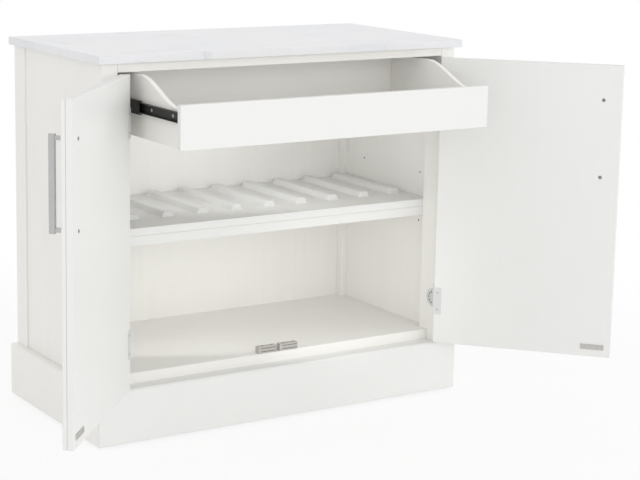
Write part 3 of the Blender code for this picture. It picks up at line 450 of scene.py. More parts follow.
@dataclass(frozen=True)
class SatinLacquerOnTimber:
    """White satin lacquer brushed on close-grained hardwood boards.

    The eye gets a soft white with barely seen strokes along the grain, wide faint mottling, a
    low broad sheen, a touch of warm undercoat where the arrises are rubbed thin, and the same
    warm darker tone along each inner seam, which is painted shade.
    """

    grain: Grain
    name: str = "carcass"
    # This lighter copy of the white is for the carcass; a darker copy of the same white goes on
    # the front boards as painted shade.
    body_tone: str = "#F7F6F2"
    stroke_tone: str = "#F2F0EB"
    # Worn arrises show this warm undercoat; the same darker tone in the inner seams is painted
    # shade.
    undercoat_tone: str = "#E2DED3"
    # Real brush strokes and open pores are 0.3 to 1 mm wide, too fine for the picture, so
    # they are drawn 12 mm wide and 420 mm long.
    stroke_width: float = 12 * MM
    stroke_length: float = 420 * MM
    stroke_share: float = 0.55
    stroke_relief: float = 0.06
    stroke_depth: float = 0.25 * MM
    mottle_size: float = 160 * MM
    arris_radius: float = 0.9 * MM
    rubbed_width: float = 3.0 * MM
    rubbed_share: float = 0.1
    roughness: tuple[float, float] = (0.36, 0.5)

    def make(self) -> bpy.types.Material:
        """Builds the lacquer.

        Returns:
            The material.
        """
        material, shader, add, place = start_material(
            f"satin_lacquer_{self.name}_{self.grain.name.lower()}")
        scale = tuple(1 / self.stroke_length if way else 1 / self.stroke_width
                      for way in self.grain.value)
        along = add("Mapping", {"Scale": scale}, {"Vector": place})
        strokes = add("TexNoise", {"Scale": 1.0, "Detail": 3.0, "Roughness": 0.62,
                                   "Distortion": 0.15}, {"Vector": (along, "Vector")})
        mottle = add("TexNoise", {"Scale": 1 / self.mottle_size, "Detail": 2.0},
                     {"Vector": place})
        weight = add("Math", {"operation": "MULTIPLY"},
                     {0: (strokes, "Fac"), 1: (mottle, "Fac")})
        spread = add("MapRange", span(0.12, 0.42, 0.0, self.stroke_share),
                     {"Value": (weight, "Value")})
        coat = add("Mix", {"data_type": "RGBA", MIX_A: linear(self.body_tone),
                           MIX_B: linear(self.stroke_tone)}, {"Factor": (spread, "Result")})
        colour = add("Mix", {"data_type": "RGBA", MIX_B: linear(self.undercoat_tone)},
                     {"Factor": self._rubbed_arris(add, strokes), MIX_A: (coat, MIX_RESULT)})
        sheen = add("MapRange", span(0, 1, *self.roughness), {"Value": (strokes, "Fac")})
        arris = add("Bevel", {"samples": BEVEL_SAMPLES, "Radius": self.arris_radius})
        relief = add("Bump", {"Strength": self.stroke_relief, "Distance": self.stroke_depth},
                     {"Height": (strokes, "Fac"), "Normal": (arris, "Normal")})
        set_up(shader, {"IOR": ORGANIC_IOR},
               {"Base Color": (colour, MIX_RESULT), "Roughness": (sheen, "Result"),
                "Normal": (relief, "Normal")})
        return material

    def _rubbed_arris(self, add: Callable, breakup: bpy.types.Node) -> tuple:
        """Where the coat is rubbed thin along an arris, and painted shade along each inner seam.

        Args:
            add: The function that adds a node to the material's tree.
            breakup: A noise that breaks the rubbed line up.

        Returns:
            The link to the share of undercoat and painted seam shade that shows.
        """
        # A wide bevel turns near outer arrises and inner seams alike, so the warm tone also goes
        # into the seams as painted shade.
        wide = add("Bevel", {"samples": BEVEL_SAMPLES, "Radius": self.rubbed_width})
        flat = add("NewGeometry")
        meet = add("VectorMath", {"operation": "DOT_PRODUCT"},
                   {0: (wide, "Normal"), 1: (flat, "True Normal")})
        turn = add("MapRange", span(0.99, 0.80, 0.0, 0.5), {"Value": (meet, "Value")})
        broken = add("Math", {"operation": "MULTIPLY"},
                     {0: (turn, "Result"), 1: (breakup, "Fac")})
        return add("MapRange", span(0.03, 0.3, 0.0, self.rubbed_share),
                   {"Value": (broken, "Value")}), "Result"


@dataclass(frozen=True)
class PolishedMarble:
    """Sawn marble slab, polished on its face and edges.

    The eye gets a cool pale grey-white with broad clouding, a few short grey veins that come
    and go, and a clear soft reflection of the room.
    """

    ground_tone: str = "#EDEDEF"
    cloud_tone: str = "#E7E8EB"
    vein_tone: str = "#C6C8CD"
    cloud_size: float = 260 * MM
    # The spacing, the width as a share of it, and the strength of each set of veins.
    veins: tuple[tuple[float, float, float], ...] = ((150 * MM, 0.026, 0.6),
                                                     (360 * MM, 0.04, 0.14))
    # The crystals are about 1 mm across, too fine for the picture, and are drawn 3 mm.
    crystal_size: float = 3 * MM
    crystal_least: float = 0.996
    arris_radius: float = 1.2 * MM
    slant_deg: float = 32.0
    stretch: tuple[float, float, float] = (0.8, 1.3, 1.0)
    roughness: tuple[float, float] = (0.26, 0.32)

    def make(self) -> bpy.types.Material:
        """Builds the marble.

        Returns:
            The material.
        """
        material, shader, add, place = start_material("polished_marble")
        slant = (add("Mapping", {"Rotation": (0, 0, math.radians(self.slant_deg)),
                                 "Scale": self.stretch}, {"Vector": place}), "Vector")
        clouds = add("TexNoise", {"Scale": 1 / self.cloud_size, "Detail": 1.5,
                                  "Roughness": 0.4, "Distortion": 0.3}, {"Vector": slant})
        ground = add("ValToRGB", {}, {"Fac": (clouds, "Fac")})
        set_ramp(ground, [(0.36, self.cloud_tone), (0.6, self.ground_tone)])
        colour = (ground, "Color")
        for spacing, width, strength in self.veins:
            faded = self._vein(add, place, slant, spacing, span(0, width, strength, 0))
            colour = (add("Mix", {"data_type": "RGBA", MIX_B: linear(self.vein_tone)},
                          {"Factor": faded, MIX_A: colour}), MIX_RESULT)
        crystals = add("TexVoronoi", {"Scale": 1 / self.crystal_size}, {"Vector": place})
        glint = add("MapRange", span(0, 1, self.crystal_least, 1),
                    {"Value": (crystals, "Distance")})
        crystal = add("VectorMath", {"operation": "SCALE"},
                      {0: colour, "Scale": (glint, "Result")})
        polish = add("MapRange", span(0, 1, *self.roughness), {"Value": (clouds, "Fac")})
        arris = add("Bevel", {"samples": BEVEL_SAMPLES, "Radius": self.arris_radius})
        set_up(shader, {"IOR": MARBLE_IOR},
               {"Base Color": (crystal, "Vector"), "Roughness": (polish, "Result"),
                "Normal": (arris, "Normal")})
        return material

    @staticmethod
    def _vein(add: Callable, place: tuple, slant: tuple, spacing: float,
              across: dict) -> tuple:
        """One set of veins, along the middle values of a noise, that come and go.

        Args:
            add: The function that adds a node to the material's tree.
            place: The link to the slab's coordinates.
            slant: The same, slanted and stretched.
            spacing: How far apart the veins run.
            across: The range from a vein's middle to its edge.

        Returns:
            The link to the share of vein that shows.
        """
        course = add("TexNoise", {"Scale": 1 / spacing, "Detail": 2.0, "Roughness": 0.5,
                                  "Distortion": 0.7}, {"Vector": slant})
        centred = add("Math", {"operation": "SUBTRACT", 1: 0.5}, {0: (course, "Fac")})
        ridge = add("Math", {"operation": "ABSOLUTE"}, {0: (centred, "Value")})
        line = add("MapRange", across, {"Value": (ridge, "Value")})
        fades = add("TexNoise", {"Scale": 1.7 / spacing, "Detail": 1.0}, {"Vector": place})
        shows = add("MapRange", span(0.56, 0.7), {"Value": (fades, "Fac")})
        return add("Math", {"operation": "MULTIPLY"},
                   {0: (line, "Result"), 1: (shows, "Result")}), "Value"


@dataclass(frozen=True)
class PlatedMetal:
    """A metal surface by its plating or treatment, with the marks of its making.

    The eye gets a grey metal whose sheen is broken by fine marks along one way.
    """

    name: str
    tone: str
    shadow_tone: str
    roughness: float
    anisotropic: float = 0.0
    # Brushing lines and plating grain are about 0.05 mm wide, too fine for the picture, and
    # are drawn 0.8 mm wide or more.
    mark_width: float = 0.8 * MM
    mark_length: float = 30 * MM
    mark_depth: float = 0.1 * MM
    bloom_size: float = 12 * MM
    bloom_sheen: tuple[float, float] = (-0.05, 0.07)
    relief: float = 0.05
    # Below 1 where a frosted plating scatters light back as a pale paint does.
    metallic: float = 1.0

    def make(self) -> bpy.types.Material:
        """Builds the metal.

        Returns:
            The material.
        """
        material, shader, add, place = start_material(self.name)
        along = add("Mapping", {"Scale": (1 / self.mark_width, 1 / self.mark_width,
                                          1 / self.mark_length)}, {"Vector": place})
        marks = add("TexNoise", {"Scale": 1.0, "Detail": 3.0}, {"Vector": (along, "Vector")})
        bloom = add("TexNoise", {"Scale": 1 / self.bloom_size, "Detail": 3.0},
                    {"Vector": place})
        share = add("Math", {"operation": "MULTIPLY"},
                    {0: (marks, "Fac"), 1: (bloom, "Fac")})
        spread = add("MapRange", span(0.1, 0.45), {"Value": (share, "Value")})
        colour = add("Mix", {"data_type": "RGBA", MIX_A: linear(self.shadow_tone),
                             MIX_B: linear(self.tone)}, {"Factor": (spread, "Result")})
        sheen = add("MapRange", span(0, 1, *(self.roughness + change
                                             for change in self.bloom_sheen)),
                    {"Value": (bloom, "Fac")})
        bump = add("Bump", {"Strength": self.relief, "Distance": self.mark_depth},
                   {"Height": (marks, "Fac")})
        set_up(shader, {"Metallic": self.metallic, "Anisotropic": self.anisotropic},
               {"Base Color": (colour, MIX_RESULT), "Roughness": (sheen, "Result"),
                "Normal": (bump, "Normal")})
        return material


@dataclass(frozen=True)
class MouldedOrCoated:
    """A matt surface: moulded rubber, pressed ferrite, bored timber or a baked coat.

    The eye gets one deep tone with a faint even grain and a soft sheen.
    """

    name: str
    tone: str
    light_tone: str
    roughness: float
    # The real grain is under 0.2 mm, too fine for the picture, and is drawn 1.2 to 2.5 mm.
    grain_size: float
    relief: float
    grain_depth: float = 0.2 * MM
    grain_sheen: tuple[float, float] = (-0.05, 0.08)
    ior: float = ORGANIC_IOR

    def make(self) -> bpy.types.Material:
        """Builds the surface.

        Returns:
            The material.
        """
        material, shader, add, place = start_material(self.name)
        grain = add("TexNoise", {"Scale": 1 / self.grain_size, "Detail": 4.0},
                    {"Vector": place})
        tone = add("ValToRGB", {}, {"Fac": (grain, "Fac")})
        set_ramp(tone, [(0.35, self.tone), (0.7, self.light_tone)])
        sheen = add("MapRange", span(0, 1, *(self.roughness + change
                                             for change in self.grain_sheen)),
                    {"Value": (grain, "Fac")})
        bump = add("Bump", {"Strength": self.relief, "Distance": self.grain_depth},
                   {"Height": (grain, "Fac")})
        set_up(shader, {"IOR": self.ior},
               {"Base Color": (tone, "Color"), "Roughness": (sheen, "Result"),
                "Normal": (bump, "Normal")})
        return material


class Finishes:
    """Every finish of the cabinet, each made once."""

    def __init__(self) -> None:
        """Makes the materials."""
        self.upright = SatinLacquerOnTimber(Grain.ALONG_Z).make()
        self.crosswise = SatinLacquerOnTimber(Grain.ALONG_X).make()
        self.front_to_back = SatinLacquerOnTimber(Grain.ALONG_Y).make()
        # Doors, drawer front, plinth front, sill, shelf and rack wear a darker copy of the same
        # lacquer: painted shade, so these well-lit faces render no brighter than the less lit
        # carcass.
        fronts = {"name": "fronts", "body_tone": "#ECECEA", "stroke_tone": "#EAEAE8",
                  "undercoat_tone": "#DBD8CF"}
        self.upright_front = SatinLacquerOnTimber(Grain.ALONG_Z, **fronts).make()
        self.crosswise_front = SatinLacquerOnTimber(Grain.ALONG_X, **fronts).make()
        self.rack = SatinLacquerOnTimber(Grain.ALONG_Y, **fronts).make()
        self.marble = PolishedMarble().make()
        # A mid-grey bar with long soft highlights along the brushing.
        self.nickel = PlatedMetal(
            "brushed_satin_nickel", "#C6C6C6", "#BDBDBC", 0.4, anisotropic=0.4,
            relief=0.1).make()
        # Small cool glints on screw heads, rivets and forks.
        self.bright_zinc = PlatedMetal(
            "zinc_plated_steel", "#D6D8D9", "#BFC2C4", 0.4, mark_width=3 * MM,
            mark_length=3 * MM).make()
        # A cool near-white that hardly stands out from the paint.
        self.hinge_nickel = PlatedMetal(
            "frosted_nickel_hinge_steel", "#DEE0DF", "#D7D9D8", 0.55, mark_width=1.5 * MM,
            mark_length=12 * MM, metallic=0.1).make()
        # A dull warm grey without a clear reflection.
        self.strike_steel = PlatedMetal(
            "dull_passivated_steel", "#C9C6C1", "#BEBBB6", 0.5, mark_width=4 * MM,
            mark_length=2 * MM, metallic=0.5).make()
        # Small darker grey heads in the white leaf.
        self.dull_steel = PlatedMetal(
            "phosphated_screw_steel", "#A3A2A0", "#888785", 0.5, mark_width=1.5 * MM,
            mark_length=1.5 * MM).make()
        # A deep even black with a faint soft highlight along each edge.
        self.electrocoat = MouldedOrCoated(
            "black_electrocoat_on_steel", "#1B1B19", "#262523", 0.42, 2.5 * MM, 0.08).make()
        # A dead matt dark grey in the grooves.
        self.ferrite = MouldedOrCoated(
            "sintered_ferrite", "#5E5B56", "#6C6964", 0.62, 1.2 * MM, 0.25,
            ior=FERRITE_IOR).make()
        # Raw timber's brown, darkened with painted shade from the depth of the hole, that reads
        # as a dark dot in the lacquer.
        self.raw_bore = MouldedOrCoated(
            "bored_raw_timber", "#5C4F41", "#6E5F4E", 0.8, 1.5 * MM, 0.3).make()
        # A dark grey tread with a wide weak sheen.
        self.rubber = MouldedOrCoated(
            "moulded_grey_rubber", "#4A4B4C", "#57585A", 0.62, 1.5 * MM, 0.2).make()


@dataclass(frozen=True)
class Worktop:
    """The marble slab."""

    finishes: Finishes

    def dress(self) -> None:
        """Gives the slab its marble."""
        dress(["stone_top"], self.finishes.marble)


@dataclass(frozen=True)
class Carcass:
    """Posts, panels, rails, floor, plinth, shelf and rack, with fillers, bores and screws."""

    finishes: Finishes
    screw: CrossHeadScrew = CrossHeadScrew(3.2 * MM, 1.3 * MM)
    # A screw stops at any angle, so each head is turned on from the last one.
    screw_turn_deg: float = 23.0
    from_edge: float = 14 * MM
    screws_up: int = 5
    screws_across: int = 4
    bore_heights: tuple[float, ...] = (0.432, 0.560)
    bore_radius: float = 2.32 * MM
    bore_depth: float = 9.4 * MM
    bore_mouth: float = 0.1 * MM
    bore_wall: float = 0.25 * MM
    bore_segments: int = 12
    filler_room: float = 0.2 * MM
    filler_drop: float = 0.8 * MM
    filler_height: float = 12 * MM
    filler_arris: float = 0.6 * MM

    def dress(self) -> None:
        """Gives each board the lacquer with its own grain, and the supports their nickel."""
        finishes = self.finishes
        dress([f"{corner}_post" for corner in CORNERS]
              + ["left_side_panel", "right_side_panel", "back_panel"], finishes.upright)
        dress(["plinth_rear", "floor_panel", "top_front_rail", "bottom_front_rail"],
              finishes.crosswise)
        # The darker copy of the lacquer, as painted shade.
        dress(["plinth_front", "shelf_board"], finishes.crosswise_front)
        dress(["plinth_left", "plinth_right", "left_slide_batten", "right_slide_batten"],
              finishes.front_to_back)
        # The darker copy of the lacquer, as painted shade.
        dress(["bottle_rack"], finishes.rack)
        dress([f"{corner}_shelf_support" for corner in CORNERS], finishes.hinge_nickel)

    def build(self) -> None:
        """Adds the fillers behind the plinth, the shelf-pin bores and the back's screws."""
        self._sill()
        self._back_cleat()
        for side in Side:
            self._side_filler(side)
        self._bores()
        self._back_screws()

    def _section(self, outer: float, inner: float, top: float) -> list[tuple[float, float]]:
        """The section of a filler strip, with its two top arrises taken off.

        Args:
            outer: Its face towards the plinth.
            inner: Its face towards the carcass.
            top: The top of the plinth board that it fills behind.

        Returns:
            Points of depth and height.
        """
        way = math.copysign(1, inner - outer)
        outer, inner = outer + way * self.filler_room, inner - way * self.filler_room
        high, low, arris = top - self.filler_drop, top - self.filler_height, self.filler_arris
        return [(outer, low), (outer, high - arris), (outer + way * arris, high),
                (inner - way * arris, high), (inner, high - arris), (inner, low)]

    def _crosswise_filler(self, name: str, section: list[tuple[float, float]], between: str,
                          finish: bpy.types.Material) -> None:
        """A filler strip that runs across the cabinet.

        Args:
            name: The piece's name.
            section: Points of depth and height.
            between: The CAD node that it is as wide as.
            finish: Its material.
        """
        low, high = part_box(between)
        strip = swept([(low[0], depth, height) for depth, height in section],
                      (high[0] - low[0], 0, 0))
        new_piece(name, strip, finish, CABINET)

    def _sill(self) -> None:
        """The sill under the doors, between the plinth's front board and the bottom rail."""
        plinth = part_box("plinth_front")[1]
        section = self._section(plinth[1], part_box("bottom_front_rail")[0][1], plinth[2])
        # The sill wears the darker copy of the lacquer, as painted shade.
        self._crosswise_filler("door_sill", section, "bottom_front_rail",
                               self.finishes.crosswise_front)

    def _back_cleat(self) -> None:
        """The cleat on the rear plinth board, under the back panel."""
        low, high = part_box("plinth_rear")
        section = self._section(low[1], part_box("floor_panel")[1][1], high[2])
        self._crosswise_filler("back_cleat", section, "back_panel", self.finishes.crosswise)

    def _side_filler(self, side: Side) -> None:
        """The strip that fills the slot between a side panel and its plinth board.

        Args:
            side: Which of the two.
        """
        panel = f"{side.word}_side_panel"
        section = self._section(face_at(f"front_{side.word}_post", side, outer=True),
                                face_at(panel, side, outer=True),
                                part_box(f"plinth_{side.word}")[1][2])
        low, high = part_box(panel)
        strip = swept([(across, low[1], height) for across, height in section],
                      (0, high[1] - low[1], 0))
        new_piece(f"{side.word}_side_filler", strip, self.finishes.front_to_back, CABINET)

    def _bores(self) -> None:
        """The raw bores of the free shelf-pin holes, their timber darkened with painted shade so
        they show dark in the white panels.
        """
        places = []
        for side in Side:
            wall = face_at(f"{side.word}_side_panel", side)
            for row in ("front", "rear"):
                depth = middle(f"{row}_{side.word}_shelf_support", axis=1)
                places += [facing((wall, depth, height), -side.outward)
                           for height in self.bore_heights]
        outer, floor, mouth = self.bore_radius, -self.bore_depth, -self.bore_mouth
        inner, floor_face = outer - self.bore_wall, floor + self.bore_wall
        cup = turned([(0, floor), (outer, floor), (outer, mouth), (inner, mouth),
                      (inner, floor_face), (0, floor_face)], self.bore_segments)
        new_piece("shelf_pin_bores", copies(cup, places), self.finishes.raw_bore, CABINET,
                  smooth=True)

    def _back_screws(self) -> None:
        """Screws round the back panel, as seen from behind."""
        low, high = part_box("back_panel")
        west, east = low[0] + self.from_edge, high[0] - self.from_edge
        bottom, top = low[2] + self.from_edge, high[2] - self.from_edge
        spots = [(across, bottom + (top - bottom) * step / (self.screws_up - 1))
                 for across in (west, east) for step in range(self.screws_up)]
        spots += [(west + (east - west) * step / (self.screws_across + 1), height)
                  for height in (bottom, top) for step in range(1, self.screws_across + 1)]
        places = [facing((across, high[1], height), Vector((0, 1, 0)),
                         number * self.screw_turn_deg)
                  for number, (across, height) in enumerate(spots)]
        self.screw.fit("back_panel_screws", places, self.finishes.bright_zinc, CABINET,
                       Slot.ZINC_STEEL)


@dataclass(frozen=True)
class Door:
    """One door leaf with its handle, strike, hinges and all their fixings."""

    finishes: Finishes
    side: Side
    open_deg: float = 132.0
    inner_t: float = 28.2 * MM
    free_s: float = 453.5 * MM
    fittings_from_free: float = 45 * MM
    handle_heights: tuple[float, float] = (0.5941, 0.7861)
    handle_screw: CrossHeadScrew = CrossHeadScrew(3.3 * MM, 1.3 * MM)
    handle_screw_turns_deg: tuple[float, float] = (20.0, 70.0)
    # The cup washer's section, as radius and height in millimetres.
    washer_section: tuple[tuple[float, float], ...] = (
        (3.465, 0), (4.4, 0), (4.268, 0.35), (3.742, 0.8), (3.465, 0.55), (3.465, 0))
    leaf_face_t: float = 29.5 * MM
    leaf_hole_s: float = 12.4 * MM
    leaf_hole_up: float = 22 * MM
    leaf_screw: CrossHeadScrew = CrossHeadScrew(3.3 * MM, 0.8 * MM, sink=0.6 * MM)
    leaf_screw_turn_deg: float = 33.0
    post_leaf_t: float = 1.3 * MM
    post_leaf_start: float = 0.2 * MM
    post_ring_deep: float = 19.2 * MM
    post_ring_high: float = 16 * MM
    post_ring_spread_deg: float = 62.0
    post_ring_count: int = 5
    post_screw: CrossHeadScrew = CrossHeadScrew(2.6 * MM, 0.7 * MM, sink=0.6 * MM)
    post_screw_turn_deg: float = 37.0
    strike_t: float = 1.6 * MM
    strike_half: tuple[float, float] = (27.6 * MM, 5.3 * MM)
    strike_round: tuple[float, float] = (0.35, 0.7)
    strike_rim: float = 1.1 * MM
    strike_rim_lifts: tuple[float, float] = (0.25 * MM, 0.3 * MM)
    strike_segments: int = 32
    strike_screw: CrossHeadScrew = CrossHeadScrew(2.6 * MM, 0.7 * MM, sink=0.4 * MM)
    strike_screw_apart: float = 15 * MM
    strike_screw_turn_deg: float = 20.0

    @property
    def word(self) -> str:
        """The door's side in the node names."""
        return self.side.word

    @property
    def body(self) -> str:
        """The CAD body of the door."""
        return f"{self.word}_door"

    def place(self) -> Matrix:
        """The door's own place: X from hinge to free edge, Y inward through it, Z up.

        Returns:
            The matrix from the door's place to the row frame.
        """
        hinge = next(joint for joint in frame["joints"] if joint["child"] == self.body)
        turn = math.radians(self.open_deg)
        sign = self.side.value
        return standing(Vector((-sign * math.cos(turn), -math.sin(turn), 0)),
                        Vector((-sign * math.sin(turn), math.cos(turn), 0)),
                        Vector((0, 0, 1)), (hinge["pos_m"][0], hinge["pos_m"][1], 0))

    def on_face(self, across: float, depth: float, height: float, turn: float = 0.0) -> Matrix:
        """A place on a face of the door that looks into the cabinet.

        Args:
            across: From the hinge axis towards the free edge.
            depth: Inward from the axis.
            height: Above the floor.
            turn: Turn about the face's normal, in degrees.

        Returns:
            The placing matrix.
        """
        place = self.place()
        inward = Vector(place.col[1][:3])
        return facing(place @ Vector((across, depth, height)), inward, turn)

    def dress(self) -> None:
        """Lacquers the leaf and plates its hardware."""
        # The door wears the darker copy of the lacquer, as painted shade.
        dress([f"{self.word}_door_panel", f"{self.word}_door_frame"],
              self.finishes.upright_front)
        dress([f"{self.word}_door_handle"], self.finishes.nickel)
        dress([f"{self.word}_door_strike"], self.finishes.strike_steel)
        dress([f"{self.word}_{row}_hinge_{leaf}_leaf" for row in ("upper", "lower")
               for leaf in ("post", "door")], self.finishes.hinge_nickel)

    def build(self) -> None:
        """Adds the fixings of handle, hinges and strike."""
        self._handle_screws()
        self._door_leaf_screws()
        self._post_leaf_screws()
        self._strike()

    def _handle_screws(self) -> None:
        """Two machine screws with cup washers, through the leaf from inside."""
        across = self.free_s - self.fittings_from_free
        places = [self.on_face(across, self.inner_t, height, turn) for height, turn in
                  zip(self.handle_heights, self.handle_screw_turns_deg)]
        self.handle_screw.fit(f"{self.word}_handle_screws", places, self.finishes.dull_steel,
                              self.body, Slot.BLACK_STEEL)
        cup = turned([(radius * MM, height * MM) for radius, height in self.washer_section])
        new_piece(f"{self.word}_handle_washers", copies(cup, places),
                  self.finishes.dull_steel, self.body, smooth=True)

    def _door_leaf_screws(self) -> None:
        """Two raised countersunk screws in each leaf on the door."""
        places = [self.on_face(self.leaf_hole_s, self.leaf_face_t,
                               middle(f"{self.word}_{row}_hinge_door_leaf")
                               + way * self.leaf_hole_up, way * self.leaf_screw_turn_deg)
                  for row in ("lower", "upper") for way in (-1, 1)]
        self.leaf_screw.fit(f"{self.word}_door_leaf_screws", places,
                            self.finishes.bright_zinc, self.body, Slot.ZINC_STEEL)

    def _post_leaf_screws(self) -> None:
        """Five dull countersunk screws in an arc on each leaf on the post."""
        post = f"front_{self.word}_post"
        # The leaf's own box takes in the knuckle, so its face is found from the post.
        face = face_at(post, self.side) - self.side.value * self.post_leaf_t
        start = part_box(post)[0][1] + self.post_leaf_start
        places = []
        for row in ("lower", "upper"):
            height = middle(f"{self.word}_{row}_hinge_post_leaf")
            for number in range(self.post_ring_count):
                turn = math.radians(self.post_ring_spread_deg
                                    * (2 * number / (self.post_ring_count - 1) - 1))
                spot = (face, start + self.post_ring_deep * math.cos(turn),
                        height + self.post_ring_high * math.sin(turn))
                places.append(facing(spot, -self.side.outward,
                                     number * self.post_screw_turn_deg))
        self.post_screw.fit(f"{self.word}_post_leaf_screws", places,
                            self.finishes.dull_steel, CABINET, Slot.BLACK_STEEL)

    def _strike(self) -> None:
        """A raised rim round the strike plate, and its two small screws."""
        across = self.free_s - self.fittings_from_free
        depth, height = self.inner_t + self.strike_t, middle(f"{self.word}_door_strike")
        rim = bmesh.new()
        inset = self.strike_rim
        outer_lift, inner_lift = self.strike_rim_lifts
        rings = [[rim.verts.new((x, y, lift)) for x, y in self._strike_outline(shrink)]
                 for shrink, lift in ((0, 0), (0, outer_lift), (inset, inner_lift), (inset, 0))]
        bridge(rim, rings + rings[:1])
        place = self.place()
        along, inward = Vector(place.col[0][:3]), Vector(place.col[1][:3])
        spot = standing(along, inward.cross(along), inward,
                        place @ Vector((across, depth, height)))
        new_piece(f"{self.word}_strike_rim", copies(rim, [spot]), self.finishes.strike_steel,
                  self.body)
        places = [self.on_face(across + way * self.strike_screw_apart, depth, height,
                               way * self.strike_screw_turn_deg) for way in (-1, 1)]
        self.strike_screw.fit(f"{self.word}_strike_screws", places,
                              self.finishes.strike_steel, self.body, Slot.HINGE_STEEL)

    def _strike_outline(self, inset: float) -> list[tuple[float, float]]:
        """A rounded oblong, as the strike plate's edge.

        Args:
            inset: How far inside that edge it runs.

        Returns:
            Points along and up from the plate's middle.
        """
        points = []
        for step in range(self.strike_segments):
            turn = math.tau * step / self.strike_segments
            points.append(tuple(
                math.copysign(abs(reach) ** power, reach) * (half - inset)
                for reach, power, half in zip((math.cos(turn), math.sin(turn)),
                                              self.strike_round, self.strike_half)))
        return points


@dataclass(frozen=True)
class Drawer:
    """The drawer box, and the slides that carry it."""

    finishes: Finishes
    screw: CrossHeadScrew = CrossHeadScrew(4.0 * MM, 1.2 * MM)
    screw_places: tuple[float, ...] = (40.4 * MM, 141.5 * MM, 262 * MM)
    screw_turn_deg: float = 40.0
    web_t: float = 1.1 * MM
    rivet_radius: float = 2.6 * MM
    rivet_rise: float = 0.8 * MM
    # The dome's section from rim to top, as shares of radius and rise.
    rivet_dome: tuple[tuple[float, float], ...] = ((1, 0), (0.9, 0.5), (0.5, 0.875), (0, 1))
    rivet_from_end: float = 13 * MM
    rivet_segments: int = 16
    lever_start: float = 170 * MM
    lever_t: float = 1.4 * MM
    # The release lever's outline, as millimetres along the slide and up.
    lever_outline: tuple[tuple[float, float], ...] = (
        (0, -2.2), (10, -3.2), (34, -2.6), (44, -4.6), (52, -4.2), (54, -1.6), (54, 1.6),
        (40, 1.4), (12, 2.8), (0, 2.2))

    def dress(self) -> None:
        """Lacquers the box and blackens the slides."""
        # The drawer front wears the darker copy of the lacquer, as painted shade.
        dress(["drawer_front"], self.finishes.crosswise_front)
        dress(["drawer_back", "drawer_bottom"], self.finishes.crosswise)
        dress(["drawer_left_side", "drawer_right_side"], self.finishes.front_to_back)
        dress([f"{side.word}_slide_{member}_member" for side in Side
               for member in ("cabinet", "middle", "drawer")], self.finishes.electrocoat)

    def build(self) -> None:
        """Adds the slides' screws, rivets and release levers."""
        for side in Side:
            member = f"{side.word}_slide_drawer_member"
            front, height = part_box(member)[0][1], middle(member)
            web = face_at(member, side) + side.value * self.web_t
            places = [facing((web, front + start, height), side.outward,
                             self.screw_turn_deg * number)
                      for number, start in enumerate(self.screw_places)]
            self.screw.fit(f"{side.word}_slide_screws", places, self.finishes.bright_zinc,
                           "drawer", Slot.ZINC_STEEL)
            self._middle_rivets(side)
            lever = swept([(web, front + self.lever_start + along * MM, height + up * MM)
                           for along, up in self.lever_outline],
                          side.outward * self.lever_t)
            new_piece(f"{side.word}_release_lever", lever, self.finishes.electrocoat,
                      "drawer")

    def _middle_rivets(self, side: Side) -> None:
        """Rivets that hold the ball cages' stops to the middle member.

        Args:
            side: Which slide.
        """
        member = f"{side.word}_slide_middle_member"
        low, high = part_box(member)
        web = face_at(member, side, outer=True) - side.value * self.web_t
        dome = turned([(0, 0)] + [(self.rivet_radius * out, self.rivet_rise * up)
                                  for out, up in self.rivet_dome], self.rivet_segments)
        places = [facing((web, start, middle(member)), -side.outward)
                  for start in (low[1] + self.rivet_from_end, high[1] - self.rivet_from_end)]
        new_piece(f"{side.word}_slide_rivets", copies(dome, places),
                  self.finishes.bright_zinc, f"{side.word}_middle_slide",
                  smooth=True)


